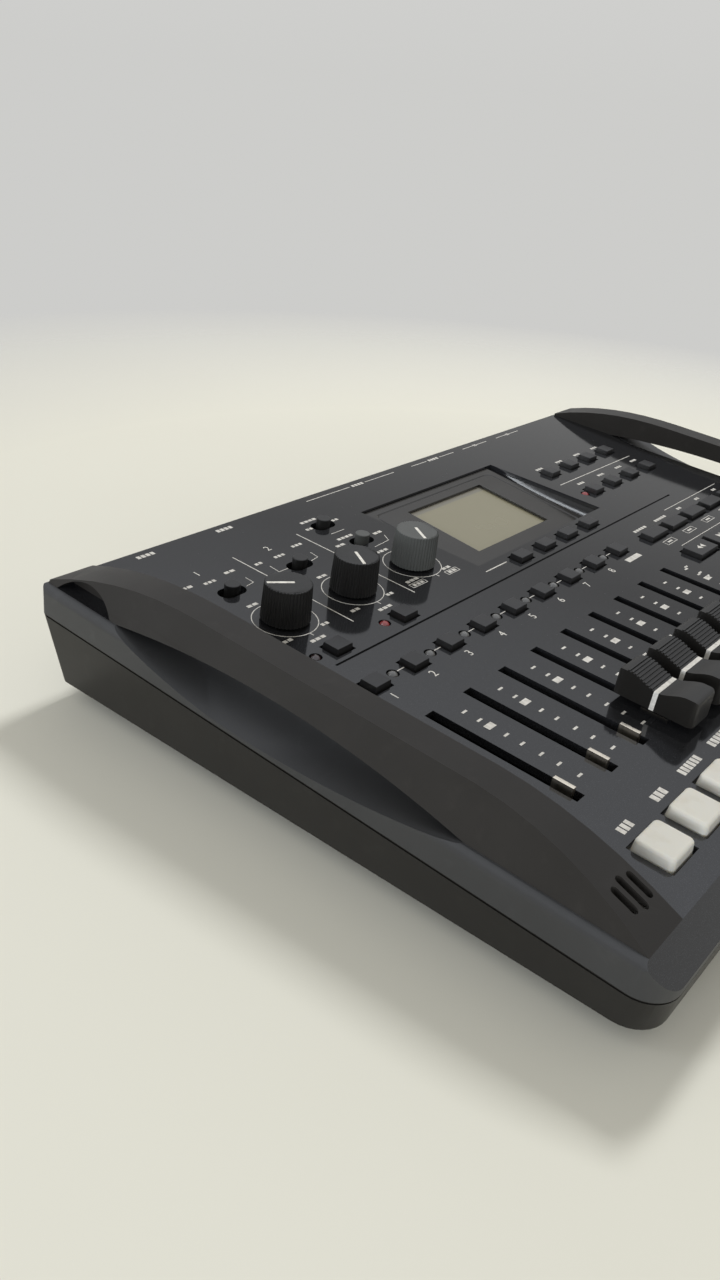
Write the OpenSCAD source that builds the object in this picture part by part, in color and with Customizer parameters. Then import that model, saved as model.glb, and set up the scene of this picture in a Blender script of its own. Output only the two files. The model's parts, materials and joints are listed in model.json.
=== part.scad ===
// Compact digital multitrack recorder: a wedge-shaped two-part case with arched side rails,
// nine faders, eight drum pads, three knobs, a sunken display and rear sockets.
// Pieces are drawn in the panel's own frame: u to the right from the left side, v to the back from
// the front edge, w up from the line where the two case halves meet. place() leans that frame back
// by the panel's slope and stands the recorder on its feet, with the origin under its middle.

/* [Case] */
// Overall width, across both rails
case_w = 273; // [270:1:290]
// Depth from the front edge to the back edge, along the panel
case_d = 179; // [177:1:190]
// Slope of the panel, higher at the back, in degrees
panel_tilt = 3.2; // [2.6:0.1:4]
// Height of the panel above the parting line
panel_h = 8; // [7.6:0.1:9]
// Thickness of the panel
panel_t = 2; // [1.6:0.1:2.2]
// Thickness of the walls and the floor
wall = 2; // [1.6:0.1:2.4]
// Depth of the lower case below the parting line, at the front edge
front_depth = 12; // [11.5:0.1:14]
// How far the lower front and side walls lean in on their way down
side_draft = 1.5; // [1:0.5:3]
// How far the lower back wall leans in on its way down
rear_draft = 5; // [3:0.5:6]
// Rounding along the bottom edges
base_round = 3; // [2:0.5:4]
// Radius of the two front corners, seen from above
corner_front_r = 7.5; // [5:0.5:10]
// Radius of the two back corners, seen from above
corner_back_r = 2.5; // [2.5:0.5:5]
// Rounding of the shoulders that the rails stand on
shoulder_r = 2.2; // [2:0.1:3]
// Depth of the sloping strip along the front edge
front_slope_d = 6.1; // [4:0.1:6.5]
// Height of the upright lip under that strip
front_lip_h = 2; // [1:0.1:3]

/* [Rails] */
// Height of the rails above the panel
rail_h = 10; // [9:0.1:12]
// Inner side of a rail, from the case's side
rail_inner = 16; // [14:0.5:17]
// Inset of a rail's foot from the case's side
rail_foot = 2.2; // [2:0.1:3]
// How far a rail's outer side leans in from its foot to its ridge
rail_lean = 5.2; // [3:0.1:6]
// Length of the rise at the front end
rail_front_rise = 44; // [36:1:50]
// Length of the fall at the back end
rail_back_fall = 54; // [46:1:60]
// Front end of the arch under a rail
arch_front = 46; // [44:1:54]
// Back end of the arch under a rail
arch_back = 151; // [140:1:152]
// Height of the arch above the panel
arch_h = 3.8; // [3.4:0.1:5]
// Edge of the panel next to the finger scoop, from the case's side
scoop_inner = 19; // [17:0.5:20]
// Height of the scoop's lower edge above the parting line
scoop_low = 1; // [0.8:0.1:2]
// Length of the pocket behind the arch
pocket_l = 21; // [14:1:22]
// Height of that pocket
pocket_h = 4.5; // [3:0.1:4.8]
// Depth of that pocket
pocket_depth = 5; // [3:0.5:6]
// Width of one microphone slot
mic_slot_w = 1.8; // [1:0.1:2]
// Length of the middle microphone slot
mic_slot_l = 7.5; // [6:0.5:8]

/* [Faders] */
// Centre of the first fader from the left side
fader_x0 = 32.5; // [32.5:0.1:33.5]
// Spacing of faders, status keys and edit keys
pitch = 15.15; // [14.9:0.05:15.15]
// Front end of the fader slots
slot_front = 37; // [36.5:0.5:39]
// Length of the fader slots
slot_len = 40.2; // [37:0.1:41]
// Width of the fader slots
slot_w = 3.3; // [3:0.1:3.6]
// Length of a fader lever along its slot
lever_l = 5.2; // [4:0.1:5.6]
// Thickness of a fader lever
lever_t = 1.2; // [0.8:0.1:1.4]
// Height of a fader lever above the panel
lever_proud = 1.7; // [1.4:0.1:2]
// Length of a fader cap
cap_l = 21; // [18:0.1:22]
// Width of a fader cap
cap_w = 10.3; // [9:0.1:11]
// Height of a fader cap at its ends
cap_h = 7; // [6:0.1:8.5]
// Depth of the saddle in a fader cap
cap_saddle = 1.9; // [1:0.1:2.4]
// Number of faders that have lost their caps
bare_levers = 3; // [0:1:8]

/* [Pads and keys] */
// Centre of the first drum pad from the left side
pad_x0 = 31.4; // [31:0.1:32.5]
// Spacing of the drum pads
pad_pitch = 15.6; // [15.1:0.05:15.6]
// Middle of the row of drum pads, from the front edge
pad_y = 17.7; // [17.5:0.1:19]
// Width of a drum pad
pad_w = 10.8; // [9:0.1:12]
// Depth of a drum pad
pad_d = 9.8; // [8:0.1:10]
// Height of a drum pad above the panel
pad_proud = 2.4; // [2:0.1:4]
// How far a drum pad goes down
pad_travel = 0.8; // [0.5:0.1:0.8]
// Width of a small key
key_w = 6.2; // [5:0.1:6.6]
// Depth of a small key
key_d = 5.5; // [4.5:0.1:5.8]
// Height of the keys above the panel
key_proud = 1.6; // [1.2:0.1:3]
// How far a key goes down
key_travel = 0.7; // [0.4:0.1:0.8]
// Middle of the row of status keys, from the front edge
status_y = 92.8; // [91:0.1:94]
// Middle of the row of soft keys, from the front edge
soft_y = 109.3; // [109:0.1:109.4]
// Spacing of soft keys and function keys
soft_pitch = 13.8; // [12:0.1:13.8]
// Depth of a soft key
soft_d = 4.8; // [4:0.1:4.8]
// Width of a transport key
transport_w = 13.4; // [11:0.1:13.4]
// Depth of a transport key
transport_d = 7.4; // [7:0.1:9]

/* [Knobs and switches] */
// Radius of a knob at its foot
knob_r = 6.6; // [6:0.1:7.5]
// Radius of a knob at its top
knob_top_r = 6.2; // [5.5:0.1:6.5]
// Height of a knob's top above the panel
knob_proud = 10.8; // [9:0.1:13]
// Radius of the control shafts
shaft_r = 3; // [2.8:0.1:3]
// Spacing of the three knobs
knob_pitch = 26.85; // [26:0.05:26.85]
// Middle of the row of knobs, from the front edge
knob_y = 127.3; // [126.5:0.1:129]
// Radius of a slide switch's stub
stub_r = 2.2; // [1.8:0.1:2.3]
// Height of that stub above the panel
stub_proud = 2.5; // [2:0.1:4]
// Travel of a slide switch, from end to end
stub_travel = 3.6; // [2.4:0.1:3.8]
// Radius of the jog dial
dial_r = 17; // [14:0.5:18]
// Height of the jog dial above the panel
dial_proud = 5; // [4:0.1:7]

/* [Display] */
// Left edge of the display's recess
display_x = 106.3; // [105:0.1:106.5]
// Width of the recess
display_w = 74.7; // [72:0.1:75]
// Front edge of the recess
display_y = 114; // [113.8:0.1:114.5]
// Depth of the recess, front to back
display_d = 46; // [44:0.1:46]
// Slope of the window against the panel, in degrees
window_tilt = 4.7; // [3:0.1:4.8]
// Thickness of the window
window_t = 0.8; // [0.6:0.1:1]

/* [Base] */
// Height of the feet
foot_h = 2; // [1.5:0.1:4]
// Radius of a foot
foot_r = 6; // [5:0.1:7]
// Length of the battery bay, for two cells end to end
bay_l = 106; // [104:0.5:108]
// Width of the battery bay, for two cells side by side
bay_w = 30; // [29:0.5:31]
// Thickness of the battery door
door_t = 1.8; // [1.2:0.1:1.8]

/* [Rear sockets] */
// Radius of the plug holes, for quarter-inch plugs
plug_r = 3.25; // [3.2:0.01:3.4]
// Depth of the plug holes
plug_depth = 16; // [12:0.5:18]
// Radius of a combined input socket
combo_r = 12; // [11:0.1:12.4]
// Height of the sockets' centres below the parting line
socket_drop = 7; // [6.8:0.1:7.6]

/* [Fits] */
// Running clearance of a shaft in its bush
shaft_gap = 0.05; // [0.03:0.01:0.08]
// Clearance round parts that move in openings
move_gap = 0.4; // [0.3:0.05:0.45]
// Clearance between fixed parts
seat_gap = 0.2; // [0.1:0.05:0.3]

/* [Hidden] */
$fn = 48;
skin = 0.01;
over = 1;
big = 60;

// Place of the panel's frame on the table
front_y = -front_lip_h * sin(panel_tilt);
back_y = case_d * cos(panel_tilt);
origin_y = -(front_y + back_y) / 2;
origin_z = foot_h + front_depth * cos(panel_tilt);
panel_margin = 2.5;
back_edge = 0.5;
panel_left = scoop_inner + panel_margin;
panel_right = case_w - panel_left;

// Levels inside, counted from the parting line
under = panel_h - panel_t;
panel_to_board = 6;
board_t = 1.6;
board_top = under - panel_to_board;
flange_t = 1.4;
flange_out = 0.8;
flange_top = under - seat_gap;
key_bottom = flange_top - flange_t;
tact_w = 5;
tact_top = key_bottom - max(key_travel, pad_travel) - seat_gap;
boards_apart = 5.8;
main_top = board_top - boards_apart;
main_bottom = main_top - board_t;
board_clear = 2.5;
board_left = panel_left + board_clear;
board_right = panel_right - board_clear;
board_front = 9;
board_back = 150;
main_front = 17;
arm_back = case_d - rear_draft - wall;

// Rails
rail_front = front_slope_d;
rail_end = 1;
rail_end_h = 0.8;
rail_back = case_d - rail_end;
rail_steps = 24;
fall_power = 2.4;
pocket_shift = -0.5;
pocket_mid = (arch_back + rail_back) / 2 + pocket_shift;
pocket_r = (pow(pocket_l / 2, 2) + pow(pocket_h, 2)) / (2 * pocket_h);
scoop_runs = [38, 26];
scoop_skin = 2.2;
scoop_slope = (panel_h - scoop_low) / scoop_inner;
mic_x = 11;
mic_y = 15;
mic_r = 4;
mic_h = 1.3;
mic_slot_gap = 3;
mic_slot_step = 1.5;

// Rows and columns
fader_count = 9;
pad_count = 8;
status_dx = -0.5;
lamp_dx = -7.9;
lamp_dy = 0.4;
lamp_r = 1.5;
lamp_proud = 0.5;
knob_x0 = 37.3;
knob_foot = 0.8;
bush_wall = 0.6;
knob_bush_r = shaft_r + bush_wall;
knob_bush_proud = 0.4;
pot_w = 11;
input_key_dx = 0.3;
input_key_y = 109.6;
input_lamp_dx = -7.3;
soft_dx = 16.3;
soft_x0 = display_x + soft_dx;
soft_w = 7;
display_right = display_x + display_w;
function_lamp_dx = 7.2;
function_lamp_x = display_right + function_lamp_dx;
function_dx = 12.9;
function_x0 = display_right + function_dx;
function_rows = [123.5, 141.9];
edit_x0 = 176.1;
edit_count = 5;
edit_w = 12;
edit_d = 5.2;
edit_dy = -1.9;
transport_x0 = 178.2;
transport_pitch = 15.3;
transport_y = 75.4;
dial_x = 216;
dial_y = 36;
cursor_x = 176;
cursor_y = 36;
cursor_ring = 10.5;
cursor_w = 7;
switch_spots = [[36.8, 146.3], [63.1, 146.3], [90.4, 146.2], [88.7, 160.4]];
switch_plate = [11, 7, 1];
switch_body = [10, 6];
switch_top = under - seat_gap - switch_plate[2] - seat_gap;
tongue_w = 12;
tongue_d = 14;
encoder_w = 12;
shaft_foot = 1;
knob_roof = 2;
pointer_w = 0.9;
pointer_h = 0.5;
pointer_tail = 1.5;
pointer_edge = 0.6;
pointer_tip = knob_top_r - pointer_edge;
pointer_turn = [-53.6, -150, -150];
dimple_in = 7;
dimple_r = 4.5;
dimple_h = 1.6;
groove_y = 104.3;
groove_x = [31, 216];
groove_w = 0.7;
groove_h = 0.5;

// Faders inside
body_w = 9;
body_end = 4;
body_gap = 1;
body_top = under - body_gap;
track_floor = 0.8;
cap_rim = 0.3;
cap_corner = [1.6, 1.3];
track_w = 5.4;
carriage_l = 7;
carriage_h = 2.4;
carriage_z = board_top + 1.2;
cap_gap = 2.1;
boss_gap = 0.4;
boss_wall = 1;
lever_front = 1.9;
lever_y = slot_front + lever_front + lever_l / 2;

// Display
tub_wall = 0.9;
tub_bottom = 1.1;
window_back_drop = 0.8;
right_curve_r = 7;
lcd_in = [16, 10];
lcd_x = display_x + lcd_in[0];
lcd_y = display_y + lcd_in[1];
lcd_w = 41.7;
lcd_d = 29;
lcd_rim = 4;
lcd_t = 2.2;

// Base
floor_slope = tan(panel_tilt);
rear_in = 1.4;
rear_face = case_d - rear_in;
jack_len = 24;
bay_x = 74;
bay_wall = 2;
bay_to_jacks = 2.6;
bay_y = rear_face - jack_len - bay_to_jacks - bay_wall - bay_w;
board_to_bay = 5;
main_back = bay_y - bay_wall - board_to_bay;
arm_left = bay_x + bay_l + bay_wall + board_to_bay;
bay_roof_t = 0.8;
bay_roof = board_top - board_t - seat_gap;
door_lip = 1.2;
bay_mid = bay_y + bay_w / 2;
bay_shift = base_y(bay_mid) - bay_mid;
screw_r = 1.5;
screw_head_r = 2.7;
screw_head_h = 1.7;
screw_sink = 2.4;
screw_bite = 2;
screw_boss_r = 4;
screw_in = 12.5;
screw_end = 14;
screw_mid = 92;
screw_rows = [screw_end, screw_mid, case_d - screw_end];
screw_spots = [for (x = [screw_in, case_w - screw_in], y = screw_rows) [x, y]];
foot_in = 24;
foot_end = 21;
foot_spots = [for (x = [foot_in, case_w - foot_in], y = [foot_end, case_d - foot_end]) [x, y]];
post_r = 1.7;
post_in = 4.5;
post_left = panel_left + post_in;
post_right = panel_right - post_in;
post_out = 5;
display_posts = [[display_x - post_out - tub_wall, 140], [display_right + post_out, 144]];
left_posts = [[post_left, 62], [post_left, 100], [156, 14]];
right_posts = [[post_right, 62], [post_right, 104], [post_right, 14]];
panel_posts = concat(left_posts, display_posts, right_posts);
main_post_in = 6;
main_post_ends = [main_front + 7, main_back - 8];
main_post_sides = [board_left + main_post_in, board_right - main_post_in];
main_posts = [for (x = main_post_sides, y = main_post_ends) [x, y]];
contact_t = 0.4;
contact_gap = 0.3;
contact_top = 1;
contact_h = 11;
contact_w = 11;

// Rear
combo_x = [32, 61.7];
plug_x = [102.5, 120, 172];
phones_x = 156;
usb_dx = 7;
usb_x = arm_left + usb_dx;
power_dx = 21;
power_x = arm_left + power_dx;
dc_dx = 37;
dc_x = arm_left + dc_dx;
nose_in = 0.8;
nose_face = case_d - nose_in;
combo_pin_r = 1.5;
combo_pin_ring = 7;
jack_w = 14.5;
jack_h = 11;
jack_nose_r = 5.5;
phones_r = 4.6;
phones_l = 6;
usb_size = [7.6, 9, 4];
usb_mouth = [6.8, 3];
dc_size = [9, 12, 9];
dc_r = 2.9;
dc_pin_r = 0.9;
power_body = [9, 5, 5];
power_knob = [3.4, 2.6];
power_travel = 2.4;
card_size = [28, 24, 3];
card_x = 188;
card_mouth = [24.5, 1.6];
card_out = 9;
arm_out = 3.4;
jack_back = case_d - wall - rear_draft - seat_gap;
jack_d = jack_back - rear_face + jack_len;
jack_mid = jack_back - jack_d / 2;
phones_body = 10;
phones_shaft_r = 2;
chip_size = [14, 14, 1.4];
chip_spots = [[60, 50], [96, 60], [140, 40], [70, 84], [150, 80]];

// Height of the lower case's outer floor under a point of the panel
function floor_w(v) = -front_depth - v * floor_slope;
// Rise of a rail's end, from 0 to 1, steep first and then flat
function rise(s, p) = 1 - pow(1 - s, p);
// Top of a rail over the panel
function rail_top(v) = panel_h + (v < rail_front + rail_front_rise
    ? rail_h * rise((v - rail_front) / rail_front_rise, 2)
    : v > rail_back - rail_back_fall
    ? rail_end_h + (rail_h - rail_end_h) * rise((rail_back - v) / rail_back_fall, fall_power) : rail_h);
// Underside of the arch over the panel
function arch_w(s) = panel_h + arch_h * (1 - pow(2 * s - 1, 2));
function fader_x(i) = fader_x0 + i * pitch;
function status_x(i) = fader_x(i) + status_dx;
function knob_x(i) = knob_x0 + i * knob_pitch;
// Place on the level underside that lies under a point of the panel's parting line
function base_y(v) = v / cos(panel_tilt) + front_depth * sin(panel_tilt);
// Depth of the window's face under the panel
function window_drop(v) = window_back_drop + (display_y + display_d - v) * tan(window_tilt);

// Stands the panel's frame on the table
module place() {
    translate([-case_w / 2, origin_y, origin_z]) rotate([panel_tilt, 0, 0]) children();
}

// Turns an outline in u and w into a bar from v0 to v1
module along_v(v0, v1) {
    translate([0, v1, 0]) rotate([90, 0, 0]) linear_extrude(height = v1 - v0) children();
}

// Turns an outline in v and w into a bar from u0 to u1
module along_u(u0, u1) {
    translate([u0, 0, 0]) rotate([90, 0, 90]) linear_extrude(height = u1 - u0) children();
}

// A box that stands on its middle
module block(x, y, z0, size_x, size_y, z1) {
    translate([x - size_x / 2, y - size_y / 2, z0]) cube([size_x, size_y, z1 - z0]);
}

// A round peg between two levels
module peg(x, y, z0, r, z1) {
    translate([x, y, z0]) cylinder(h = z1 - z0, r = r);
}

// A round peg that points to the back
module rear_peg(x, w, v0, r, v1) {
    translate([x, v0, w]) rotate([-90, 0, 0]) cylinder(h = v1 - v0, r = r);
}

// The case's outline from above, drawn in by a wall
module plan(inset) {
    rf = corner_front_r;
    rb = corner_back_r;
    for (x = [rf, case_w - rf]) translate([x, rf]) circle(r = rf - inset);
    for (x = [rb, case_w - rb]) translate([x, case_d - rb]) circle(r = rb - min(inset, rb - skin));
    translate([rf, inset]) square([case_w - 2 * rf, case_d / 2]);
    translate([inset, rf]) square([case_w - 2 * inset, case_d - rf - rb]);
    translate([rb, case_d / 2]) square([case_w - 2 * rb, case_d / 2 - inset]);
}

// A thin layer of the lower case, on the table's slope
module floor_layer(inset, up) {
    rf = corner_front_r;
    rb = corner_back_r;
    rotate([-panel_tilt, 0, 0]) translate([0, 0, up - front_depth * cos(panel_tilt)])
        linear_extrude(height = skin) {
            for (x = [inset + rf, case_w - inset - rf]) translate([x, inset + rf]) circle(r = rf, $fn = 32);
            for (x = [inset + rb, case_w - inset - rb])
                translate([x, back_y - inset - rear_draft + side_draft - rb]) circle(r = rb, $fn = 32);
        }
}

// The closed body of the lower case, drawn in by a wall
module lower_body(inset, lift) {
    rf = corner_front_r - inset;
    rb = max(corner_back_r - inset, skin);
    hull() {
        translate([0, 0, lift - skin]) linear_extrude(height = skin) {
            for (x = [inset + rf, case_w - inset - rf]) translate([x, inset + rf]) circle(r = rf, $fn = 32);
            for (x = [inset + rb, case_w - inset - rb])
                translate([x, case_d - inset - rb]) circle(r = rb, $fn = 32);
        }
        floor_layer(inset + side_draft, inset + base_round);
        floor_layer(inset + side_draft + base_round, inset);
    }
}

// One rail, on the left side
module rail() {
    tops = [for (i = [0 : rail_steps])
        let (v = rail_front + i * (rail_back - rail_front) / rail_steps) [v, rail_top(v)]];
    arch = [for (i = [0 : rail_steps])
        let (s = i / rail_steps) [arch_back - s * (arch_back - arch_front), arch_w(s)]];
    difference() {
        intersection() {
            along_u(0, rail_inner) polygon(concat(tops, [[rail_back, panel_h]], arch));
            along_v(0, case_d) polygon([[rail_foot, panel_h], [rail_inner, panel_h],
                [rail_inner, panel_h + rail_h], [rail_foot + rail_lean, panel_h + rail_h]]);
        }
        translate([0, pocket_mid, panel_h + pocket_h - pocket_r]) rotate([0, 90, 0])
            cylinder(h = rail_foot + pocket_depth, r = pocket_r, $fn = 96);
        peg(mic_x, mic_y, panel_h - over, mic_r + seat_gap, panel_h + mic_h + seat_gap);
        for (k = [-1 : 1]) mic_slot(mic_x + k * mic_slot_gap, mic_slot_l - abs(k) * mic_slot_step);
    }
}

// One slot over a microphone
module mic_slot(x, l) {
    straight = (l - mic_slot_w) / 2;
    translate([x, mic_y, panel_h + mic_h]) linear_extrude(height = rail_h) {
        square([mic_slot_w, 2 * straight], center = true);
        for (y = [-straight, straight]) translate([0, y]) circle(d = mic_slot_w);
    }
}

// The finger scoop under the left rail
module scoop() {
    intersection() {
        along_v(0, case_d) polygon([[-over, scoop_low], [0, scoop_low], [scoop_inner, panel_h],
            [scoop_inner, panel_h + over], [-over, panel_h + over]]);
        along_u(-over, scoop_inner) polygon([[arch_front - over, panel_h + over], [arch_front, panel_h],
            [arch_front + scoop_runs[0], scoop_low], [arch_back - scoop_runs[1], scoop_low],
            [arch_back, panel_h], [arch_back + over, panel_h + over]]);
    }
}

// Mirrors a left-hand shape to the right-hand side
module other_side() {
    translate([case_w, 0, 0]) mirror([1, 0, 0]) children();
}

// Rear openings that both case halves share
module rear_cuts() {
    for (x = combo_x) rear_peg(x, -socket_drop, rear_face - jack_len, combo_r + seat_gap, case_d + over);
    for (x = plug_x) rear_peg(x, -socket_drop, case_d - big / 4, jack_nose_r + seat_gap, case_d + over);
    rear_peg(phones_x, -socket_drop, case_d - big / 4, phones_r + move_gap, case_d + over);
    rear_peg(dc_x, main_top + dc_size[2] / 2, arm_back, dc_r + over, case_d + over);
    translate([usb_x, 0, main_top + usb_size[2] / 2])
        block(0, arm_back + big / 2, -usb_mouth[1] / 2 - over, usb_mouth[0] + 2 * over, big,
            usb_mouth[1] / 2 + over);
    translate([power_x, 0, main_top + power_body[2] / 2])
        block(0, arm_back + big / 2, -power_knob[1] / 2 - move_gap,
            power_knob[0] + power_travel + 2 * move_gap, big, power_knob[1] / 2 + move_gap);
}

// A hole in the panel for a key
module key_hole(x, y, size_x, size_y) {
    block(x, y, under - over, size_x + 2 * move_gap, size_y + 2 * move_gap, panel_h + over);
}

// Spots of the grouped keys, each with its width and depth
soft_spots = [for (i = [0 : 3]) [soft_x0 + i * soft_pitch, soft_y, soft_w, soft_d]];
function_spots = [for (y = function_rows, i = [0 : 3]) [function_x0 + i * soft_pitch, y, key_w, key_d]];
edit_spots = [for (i = [0 : edit_count - 1]) [edit_x0 + i * pitch, status_y + edit_dy, edit_w, edit_d]];
transport_spots = [for (i = [0 : 4])
    [transport_x0 + i * transport_pitch, transport_y, transport_w, transport_d]];
cursor_spots = [for (a = [0 : 90 : 270])
    [cursor_x + cursor_ring * cos(a), cursor_y + cursor_ring * sin(a), cursor_w, cursor_w]];
status_spots = [for (i = [0 : fader_count - 1]) [status_x(i), status_y, key_w, key_d]];
input_spots = [for (i = [0 : 1]) [knob_x(i) + input_key_dx, input_key_y, key_w, key_d]];
pad_spots = [for (i = [0 : pad_count - 1]) [pad_x0 + i * pad_pitch, pad_y, pad_w, pad_d]];
key_spots = concat(soft_spots, function_spots, edit_spots, transport_spots, cursor_spots, status_spots,
    input_spots);
lamp_spots = concat(
    [for (i = [0 : fader_count - 1]) [status_x(i) + lamp_dx, status_y + lamp_dy]],
    [for (i = [0 : 1]) [knob_x(i) + input_lamp_dx, input_key_y + lamp_dy]],
    [[function_lamp_x, function_rows[0] + lamp_dy]]
);

// One sprung key or pad with the flange that keeps it under the panel
module key(spot, proud) {
    block(spot[0], spot[1], key_bottom, spot[2] + 2 * flange_out, spot[3] + 2 * flange_out, flange_top);
    block(spot[0], spot[1], key_bottom, spot[2], spot[3], panel_h + proud);
}

// The sunken place of the display, with its sloping floor and its curved right wall
module display_recess() {
    x1 = display_x + display_w;
    y1 = display_y + display_d;
    intersection() {
        along_u(display_x, x1) polygon([[display_y, panel_h + over], [y1, panel_h + over],
            [y1, panel_h - window_drop(y1) - window_t],
            [display_y, panel_h - window_drop(display_y) - window_t]]);
        union() {
            along_v(display_y, y1) polygon([[display_x, -over], [x1 - right_curve_r, -over],
                [x1 - right_curve_r, panel_h + over], [display_x, panel_h + over]]);
            translate([x1 - right_curve_r, display_y, panel_h]) rotate([-90, 0, 0])
                cylinder(h = display_d, r = right_curve_r, $fn = 96);
        }
    }
}

// The opening for the display module under the window
module display_opening() {
    translate([lcd_x - lcd_rim - seat_gap, lcd_y - lcd_rim - seat_gap, board_top])
        cube([lcd_w + 2 * (lcd_rim + seat_gap), lcd_d + 2 * (lcd_rim + seat_gap), panel_h]);
}

// Slots, holes and sunken places of the panel
module panel_cuts() {
    for (i = [0 : fader_count - 1])
        block(fader_x(i), slot_front + slot_len / 2, under - over, slot_w, slot_len, panel_h + over);
    for (s = concat(key_spots, pad_spots)) key_hole(s[0], s[1], s[2], s[3]);
    for (i = [0 : 2]) peg(knob_x(i), knob_y, under - over, knob_bush_r + seat_gap, panel_h + over);
    for (p = lamp_spots) peg(p[0], p[1], under - over, lamp_r + seat_gap, panel_h + over);
    for (p = switch_spots) translate([p[0], p[1], under - over]) linear_extrude(height = big) {
        square([stub_travel, 2 * (stub_r + move_gap)], center = true);
        for (x = [-stub_travel, stub_travel] / 2) translate([x, 0]) circle(r = stub_r + move_gap);
    }
    peg(dial_x, dial_y, under - over, knob_bush_r + seat_gap, panel_h + over);
    translate([groove_x[0], groove_y - groove_w / 2, panel_h - groove_h])
        cube([groove_x[1] - groove_x[0], groove_w, groove_h + over]);
    display_recess();
    display_opening();
}

// The hollow under the panel
module upper_hollow() {
    low = (scoop_skin - over - scoop_low) / scoop_slope;
    high = (scoop_skin + under - scoop_low) / scoop_slope;
    intersection() {
        along_v(wall, case_d - wall) polygon([[low, -over], [high, under],
            [case_w - high, under], [case_w - low, -over]]);
        along_u(0, case_w) polygon([[wall, -over], [wall, front_lip_h - panel_t],
            [front_slope_d + wall, under], [case_d - wall, under], [case_d - wall, -over]]);
        translate([0, 0, -over]) linear_extrude(height = panel_h) plan(wall);
    }
}

module upper_case() {
    color("#45464a") place() {
        difference() {
            intersection() {
                linear_extrude(height = panel_h) plan(0);
                along_u(0, case_w) polygon([[0, 0], [0, front_lip_h], [front_slope_d, panel_h],
                    [case_d - back_edge, panel_h], [case_d, panel_h - back_edge], [case_d, 0]]);
                along_v(0, case_d) union() {
                    square([case_w, panel_h - shoulder_r]);
                    translate([shoulder_r, 0]) square([case_w - 2 * shoulder_r, panel_h]);
                    for (x = [shoulder_r, case_w - shoulder_r])
                        translate([x, panel_h - shoulder_r]) circle(r = shoulder_r);
                }
            }
            difference() {
                upper_hollow();
                translate([display_x - tub_wall, display_y - tub_wall, tub_bottom])
                    cube([display_w + 2 * tub_wall, display_d + 2 * tub_wall, panel_h]);
                for (p = panel_posts) peg(p[0], p[1], board_top, post_r, panel_h);
                for (p = screw_spots) peg(p[0], p[1], 0, screw_boss_r, panel_h);
            }
            scoop();
            other_side() scoop();
            panel_cuts();
            rear_cuts();
            for (p = screw_spots) peg(p[0], p[1], -over, screw_r + shaft_gap, screw_bite + seat_gap);
        }
    }
}

// Turns a shape from the panel's frame to the case's level underside
module on_floor() {
    rotate([-panel_tilt, 0, 0]) translate([0, 0, -front_depth * cos(panel_tilt)]) children();
}

// A block the size of the battery bay, made larger by a wall or a lip
module bay_box(grow, z0, z1) {
    block(bay_x + bay_l / 2, bay_y + bay_w / 2, z0, bay_l + 2 * grow, bay_w + 2 * grow, z1);
}

module lower_case() {
    color("#3f3f42") place() {
        difference() {
            union() {
                difference() {
                    lower_body(0, 0);
                    lower_body(wall, over);
                }
                intersection() {
                    lower_body(wall / 2, 0);
                    union() {
                        bay_box(bay_wall, -big, bay_roof);
                        for (p = screw_spots) peg(p[0], p[1], -big, screw_boss_r, 0);
                        for (p = main_posts) peg(p[0], p[1], -big, post_r, main_bottom);
                    }
                }
            }
            bay_box(0, -big, bay_roof - bay_roof_t);
            on_floor() translate([0, bay_shift, 0]) bay_box(door_lip, -over, wall);
            for (p = screw_spots) {
                peg(p[0], p[1], -big, screw_head_r + seat_gap, floor_w(p[1]) + screw_sink);
                peg(p[0], p[1], -big, screw_r + shaft_gap, over);
            }
            rear_cuts();
            translate([card_x, 0, main_top + card_size[2] / 2])
                block(0, 0, -card_mouth[1] / 2, card_mouth[0], 2 * main_front, card_mouth[1] / 2);
        }
    }
}

module battery_door() {
    color("#39393c") place() {
        on_floor() translate([0, bay_shift, 0]) bay_box(door_lip - seat_gap, 0, door_t);
    }
}

module left_rail() {
    color("#3d3936") place() rail();
}

module right_rail() {
    color("#3d3936") place() other_side() rail();
}

module microphones() {
    color("#777777") place() {
        peg(mic_x, mic_y, panel_h, mic_r, panel_h + mic_h);
        other_side() peg(mic_x, mic_y, panel_h, mic_r, panel_h + mic_h);
    }
}

module feet() {
    color("#1c1c1c") place() on_floor()
        for (p = foot_spots) translate([p[0], base_y(p[1]), -foot_h]) cylinder(h = foot_h, r = foot_r);
}

module case_screws() {
    color("#8a8a8c") place() for (p = screw_spots) {
        seat = floor_w(p[1]) + screw_sink;
        difference() {
            union() {
                peg(p[0], p[1], seat - screw_head_h, screw_head_r, seat);
                peg(p[0], p[1], seat - screw_head_h, screw_r, screw_bite);
            }
            block(p[0], p[1], seat - screw_head_h - over, screw_r, 2 * screw_r, seat - screw_head_h / 2);
            block(p[0], p[1], seat - screw_head_h - over, 2 * screw_r, screw_r, seat - screw_head_h / 2);
        }
    }
}

module display_window() {
    x1 = display_x + display_w;
    deepest = window_drop(display_y) + window_t;
    right = x1 - right_curve_r + sqrt(pow(right_curve_r, 2) - pow(deepest, 2)) - seat_gap;
    y0 = display_y + seat_gap;
    y1 = display_y + display_d - seat_gap;
    color("#33352f") place() along_u(display_x + seat_gap, right) polygon([
        [y0, panel_h - window_drop(y0)], [y1, panel_h - window_drop(y1)],
        [y1, panel_h - window_drop(y1) - window_t], [y0, panel_h - window_drop(y0) - window_t]]);
}

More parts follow.
